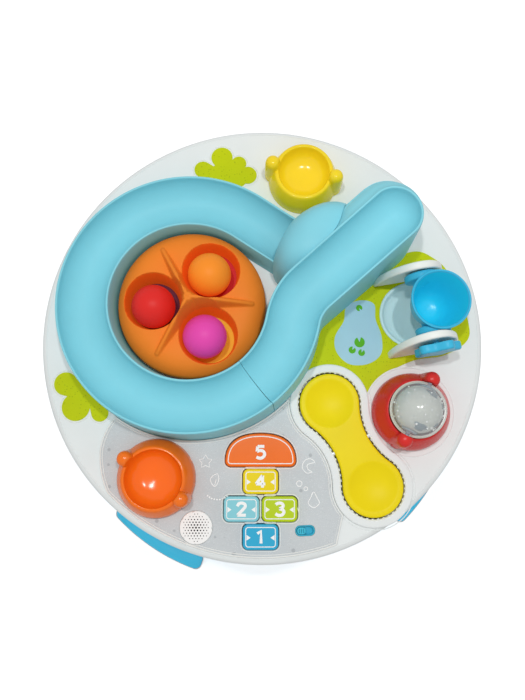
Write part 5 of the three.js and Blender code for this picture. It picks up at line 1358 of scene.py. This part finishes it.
screwTree, start, end = newTree("shellScrews", HeadRadius=0.0034, HeadDepth=0.0016, SlotWidth=0.0009)
head = wire(screwTree, "GeometryNodeMeshCylinder",
            {"Vertices": 28, "Radius": start["HeadRadius"], "Depth": start["HeadDepth"]})
crossHead = wire(screwTree, "GeometryNodeMeshBoolean", {0: head.outputs[0]}, operation="DIFFERENCE")
slotLength, slotDepth = 0.0046, 0.0018
for across, up in ((slotLength, start["SlotWidth"]), (start["SlotWidth"], slotLength)):
    wide = wire(screwTree, "ShaderNodeCombineXYZ", {0: across, 1: up, 2: slotDepth})
    slot = wire(screwTree, "GeometryNodeMeshCube", {"Size": wide.outputs[0]})
    low = wire(screwTree, "GeometryNodeTransform", {0: slot.outputs[0], "Translation": (0, 0, -slotDepth / 2)})
    screwTree.links.new(low.outputs[0], crossHead.inputs[1])
turned = wire(screwTree, "FunctionNodeRandomValue", {"Seed": 3, 0: (0, 0, 0), 1: (0, 0, 3.1)},
              data_type="FLOAT_VECTOR")
scatter(screwTree, end, "steel", Points=start["Geometry"], Instance=crossHead.outputs[0],
        Rotation=turned.outputs[0])
screwSpots = raised([polar(shell["screwRing"], a) for a in range(12, 372, 45)], shell["screwHeight"])
growPiece("shellScrews", screwSpots, (), screwTree, "steel", sharp=30)

leg = {"halfAngle": 14.5, "first": 57.5, "top": 230.0, "foot": 337.0, "thickTop": 30.0, "thickFoot": 25.0,
       "corner": 10.0, "bow": 5.0, "padLip": 1.2, "height": -38.3, "bottom": 6.3 - surfaceHeight}


def sectorRow(outer, thickness, halfAngle, height, less=0.0):
    # one level of a leg: a band of a ring with rounded corners
    mid = outer - thickness / 2
    halfWide = math.radians(halfAngle) * mid
    loop = inset(oblongLoop(thickness, halfWide * 2, min(leg["corner"], thickness / 2 - 0.5), 8), less)
    bent = []
    for here, after in zip(loop, np.roll(loop, -1, 0)):
        parts = 24 if abs(after[1] - here[1]) > halfWide else 1
        bent += [here + (after - here) * i / parts for i in range(parts)]
    return raised([((mid + x) * math.cos(y / mid), (mid + x) * math.sin(y / mid)) for x, y in bent], height)


rows = []
for t in np.linspace(0, 1, 40):
    outer = leg["top"] + (leg["foot"] - leg["top"]) * (1 - t) - leg["bow"] * math.sin(halfTurn * (1 - t))
    thick = leg["thickTop"] + (leg["thickFoot"] - leg["thickTop"]) * (1 - t)
    height = leg["bottom"] + (leg["height"] - leg["bottom"]) * t
    rows.append(sectorRow(outer, thick, leg["halfAngle"], height))
padRows = [sectorRow(leg["foot"] + leg["padLip"], leg["thickFoot"] + leg["padLip"] * 2,
                     leg["halfAngle"] + math.degrees(leg["padLip"] / leg["foot"]), z, less)
           for z, less in ((-surfaceHeight, 1.0), (1.0 - surfaceHeight, 0.0), (leg["bottom"] - 0.8, 0.0),
                           (leg["bottom"] - gap, 0.6))]
for i in range(4):
    at = (0.0, 0.0, leg["first"] + 90 * i)
    addPiece(f"leg{i + 1}", skin(rows, True, True), "legBlue", f"leg_{i + 1}", at)
    addPiece(f"footPad{i + 1}", skin(padRows, True, True), "footGrey", f"foot_pad_{i + 1}", at)
print("table and legs made")

dash = {"place": (96.0, 113.0, -49.0), "length": 9.0, "width": 2.2, "low": 68.0}
dashLoop = oblongLoop(dash["length"], dash["width"], 1.05, 6)
dashRows = [raised(inset(dashLoop, less), dash["low"] + z)
            for z, less in ((0.0, 0.0), (0.5, 0.0), (0.85, 0.35))]
addPiece("rampDash", skin(dashRows, True, True), "trackBlue", None, dash["place"])

plain = {
    "sorter_base": "sorterOrange", "sorter_pin": "steel", "seesaw_pin": "steel", "rattle_axle": "discGrey",
    "speaker_driver": "darkHole", "button_mat": "matDark", "circuit_board": "boardGreen",
    "battery_box": "trayWhite", "battery_door": "trayWhite", "battery_door_screw": "steel",
    "battery_1": "cellDark", "battery_2": "cellDark",
    "battery_3": "cellDark", "speaker_lead": "leadRed", "battery_lead": "leadRed", "sorter_pad_1": "padRed",
    "sorter_pad_2": "padPurple", "sorter_pad_3": "padYellow",
}
for node, finish in plain.items():
    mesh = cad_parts[node].data
    mesh.materials.clear()
    mesh.materials.append(paint[finish])
print("carried-over nodes painted:", len(plain))


# Floor, light and camera

studio = {"world": 0.5, "lamps": 5.6, "lampSize": 0.06, "lampHeight": 1.95, "floorGlow": 0.5, "floorReach": 6,
          "floorHeight": -0.0002}
white = (1, 1, 1, 1)
floorMaterial = bpy.data.materials.new("paleFloor")
floorMaterial.use_nodes = True
tree = floorMaterial.node_tree
seenFloor = wire(tree, "ShaderNodeLightPath")
glow = wire(tree, "ShaderNodeMath", {0: seenFloor.outputs["Is Camera Ray"], 1: studio["floorGlow"]},
            operation="MULTIPLY")
feed(tree, tree.nodes["Principled BSDF"], {"Base Color": (0.93, 0.93, 0.93, 1), "Roughness": 0.9,
                                           "Emission Color": white, "Emission Strength": glow.outputs[0]})
floorMesh = bpy.data.meshes.new("floor")
reach = studio["floorReach"]
floorMesh.from_pydata(raised([(-reach, -reach), (reach, -reach), (reach, reach), (-reach, reach)],
                             studio["floorHeight"]), [], [(0, 1, 2, 3)])
floorMesh.materials.append(floorMaterial)
floor = bpy.data.objects.new("floor", floorMesh)
bpy.context.scene.collection.objects.link(floor)

world = bpy.data.worlds.new("studio")
world.use_nodes = True
bpy.context.scene.world = world
tree = world.node_tree
background = tree.nodes["Background"]
feed(tree, background, {"Color": white, "Strength": studio["world"]})
seen = wire(tree, "ShaderNodeBackground", {"Color": white})
path = wire(tree, "ShaderNodeLightPath")
plainly = path.outputs["Is Camera Ray"]
for ray in ("Is Glossy Ray", "Is Transmission Ray"):
    plainly = wire(tree, "ShaderNodeMath", {0: plainly, 1: path.outputs[ray]}, operation="MAXIMUM").outputs[0]
choice = wire(tree, "ShaderNodeMixShader", {0: plainly, 1: background.outputs[0], 2: seen.outputs[0]})
feed(tree, tree.nodes["World Output"], {"Surface": choice.outputs[0]})

for name, x in (("leftLamp", -0.18), ("rightLamp", 0.22)):
    light = bpy.data.lights.new(name, "AREA")
    light.shape = "DISK"
    light.size = studio["lampSize"]
    light.energy = studio["lamps"]
    lamp = bpy.data.objects.new(name, light)
    lamp.location = (x, 0.1, studio["lampHeight"])
    lamp.rotation_euler = (Vector((0, 0, 0.4)) - lamp.location).to_track_quat("-Z", "Y").to_euler()
    bpy.context.scene.collection.objects.link(lamp)

picture = {"focus": 650, "width": 525, "place": (0.0004, -0.130, 1.1194), "lean": 9}
camera = bpy.data.cameras.new("camera")
camera.sensor_fit = "HORIZONTAL"
camera.sensor_width = 36
camera.lens = camera.sensor_width * picture["focus"] / picture["width"]
viewer = bpy.data.objects.new("camera", camera)
viewer.location = picture["place"]
viewer.rotation_euler = (math.radians(picture["lean"]), 0, 0)
bpy.context.scene.collection.objects.link(viewer)
bpy.context.scene.camera = viewer
bpy.context.scene.view_settings.view_transform = "Standard"
print("floor, light and camera made")
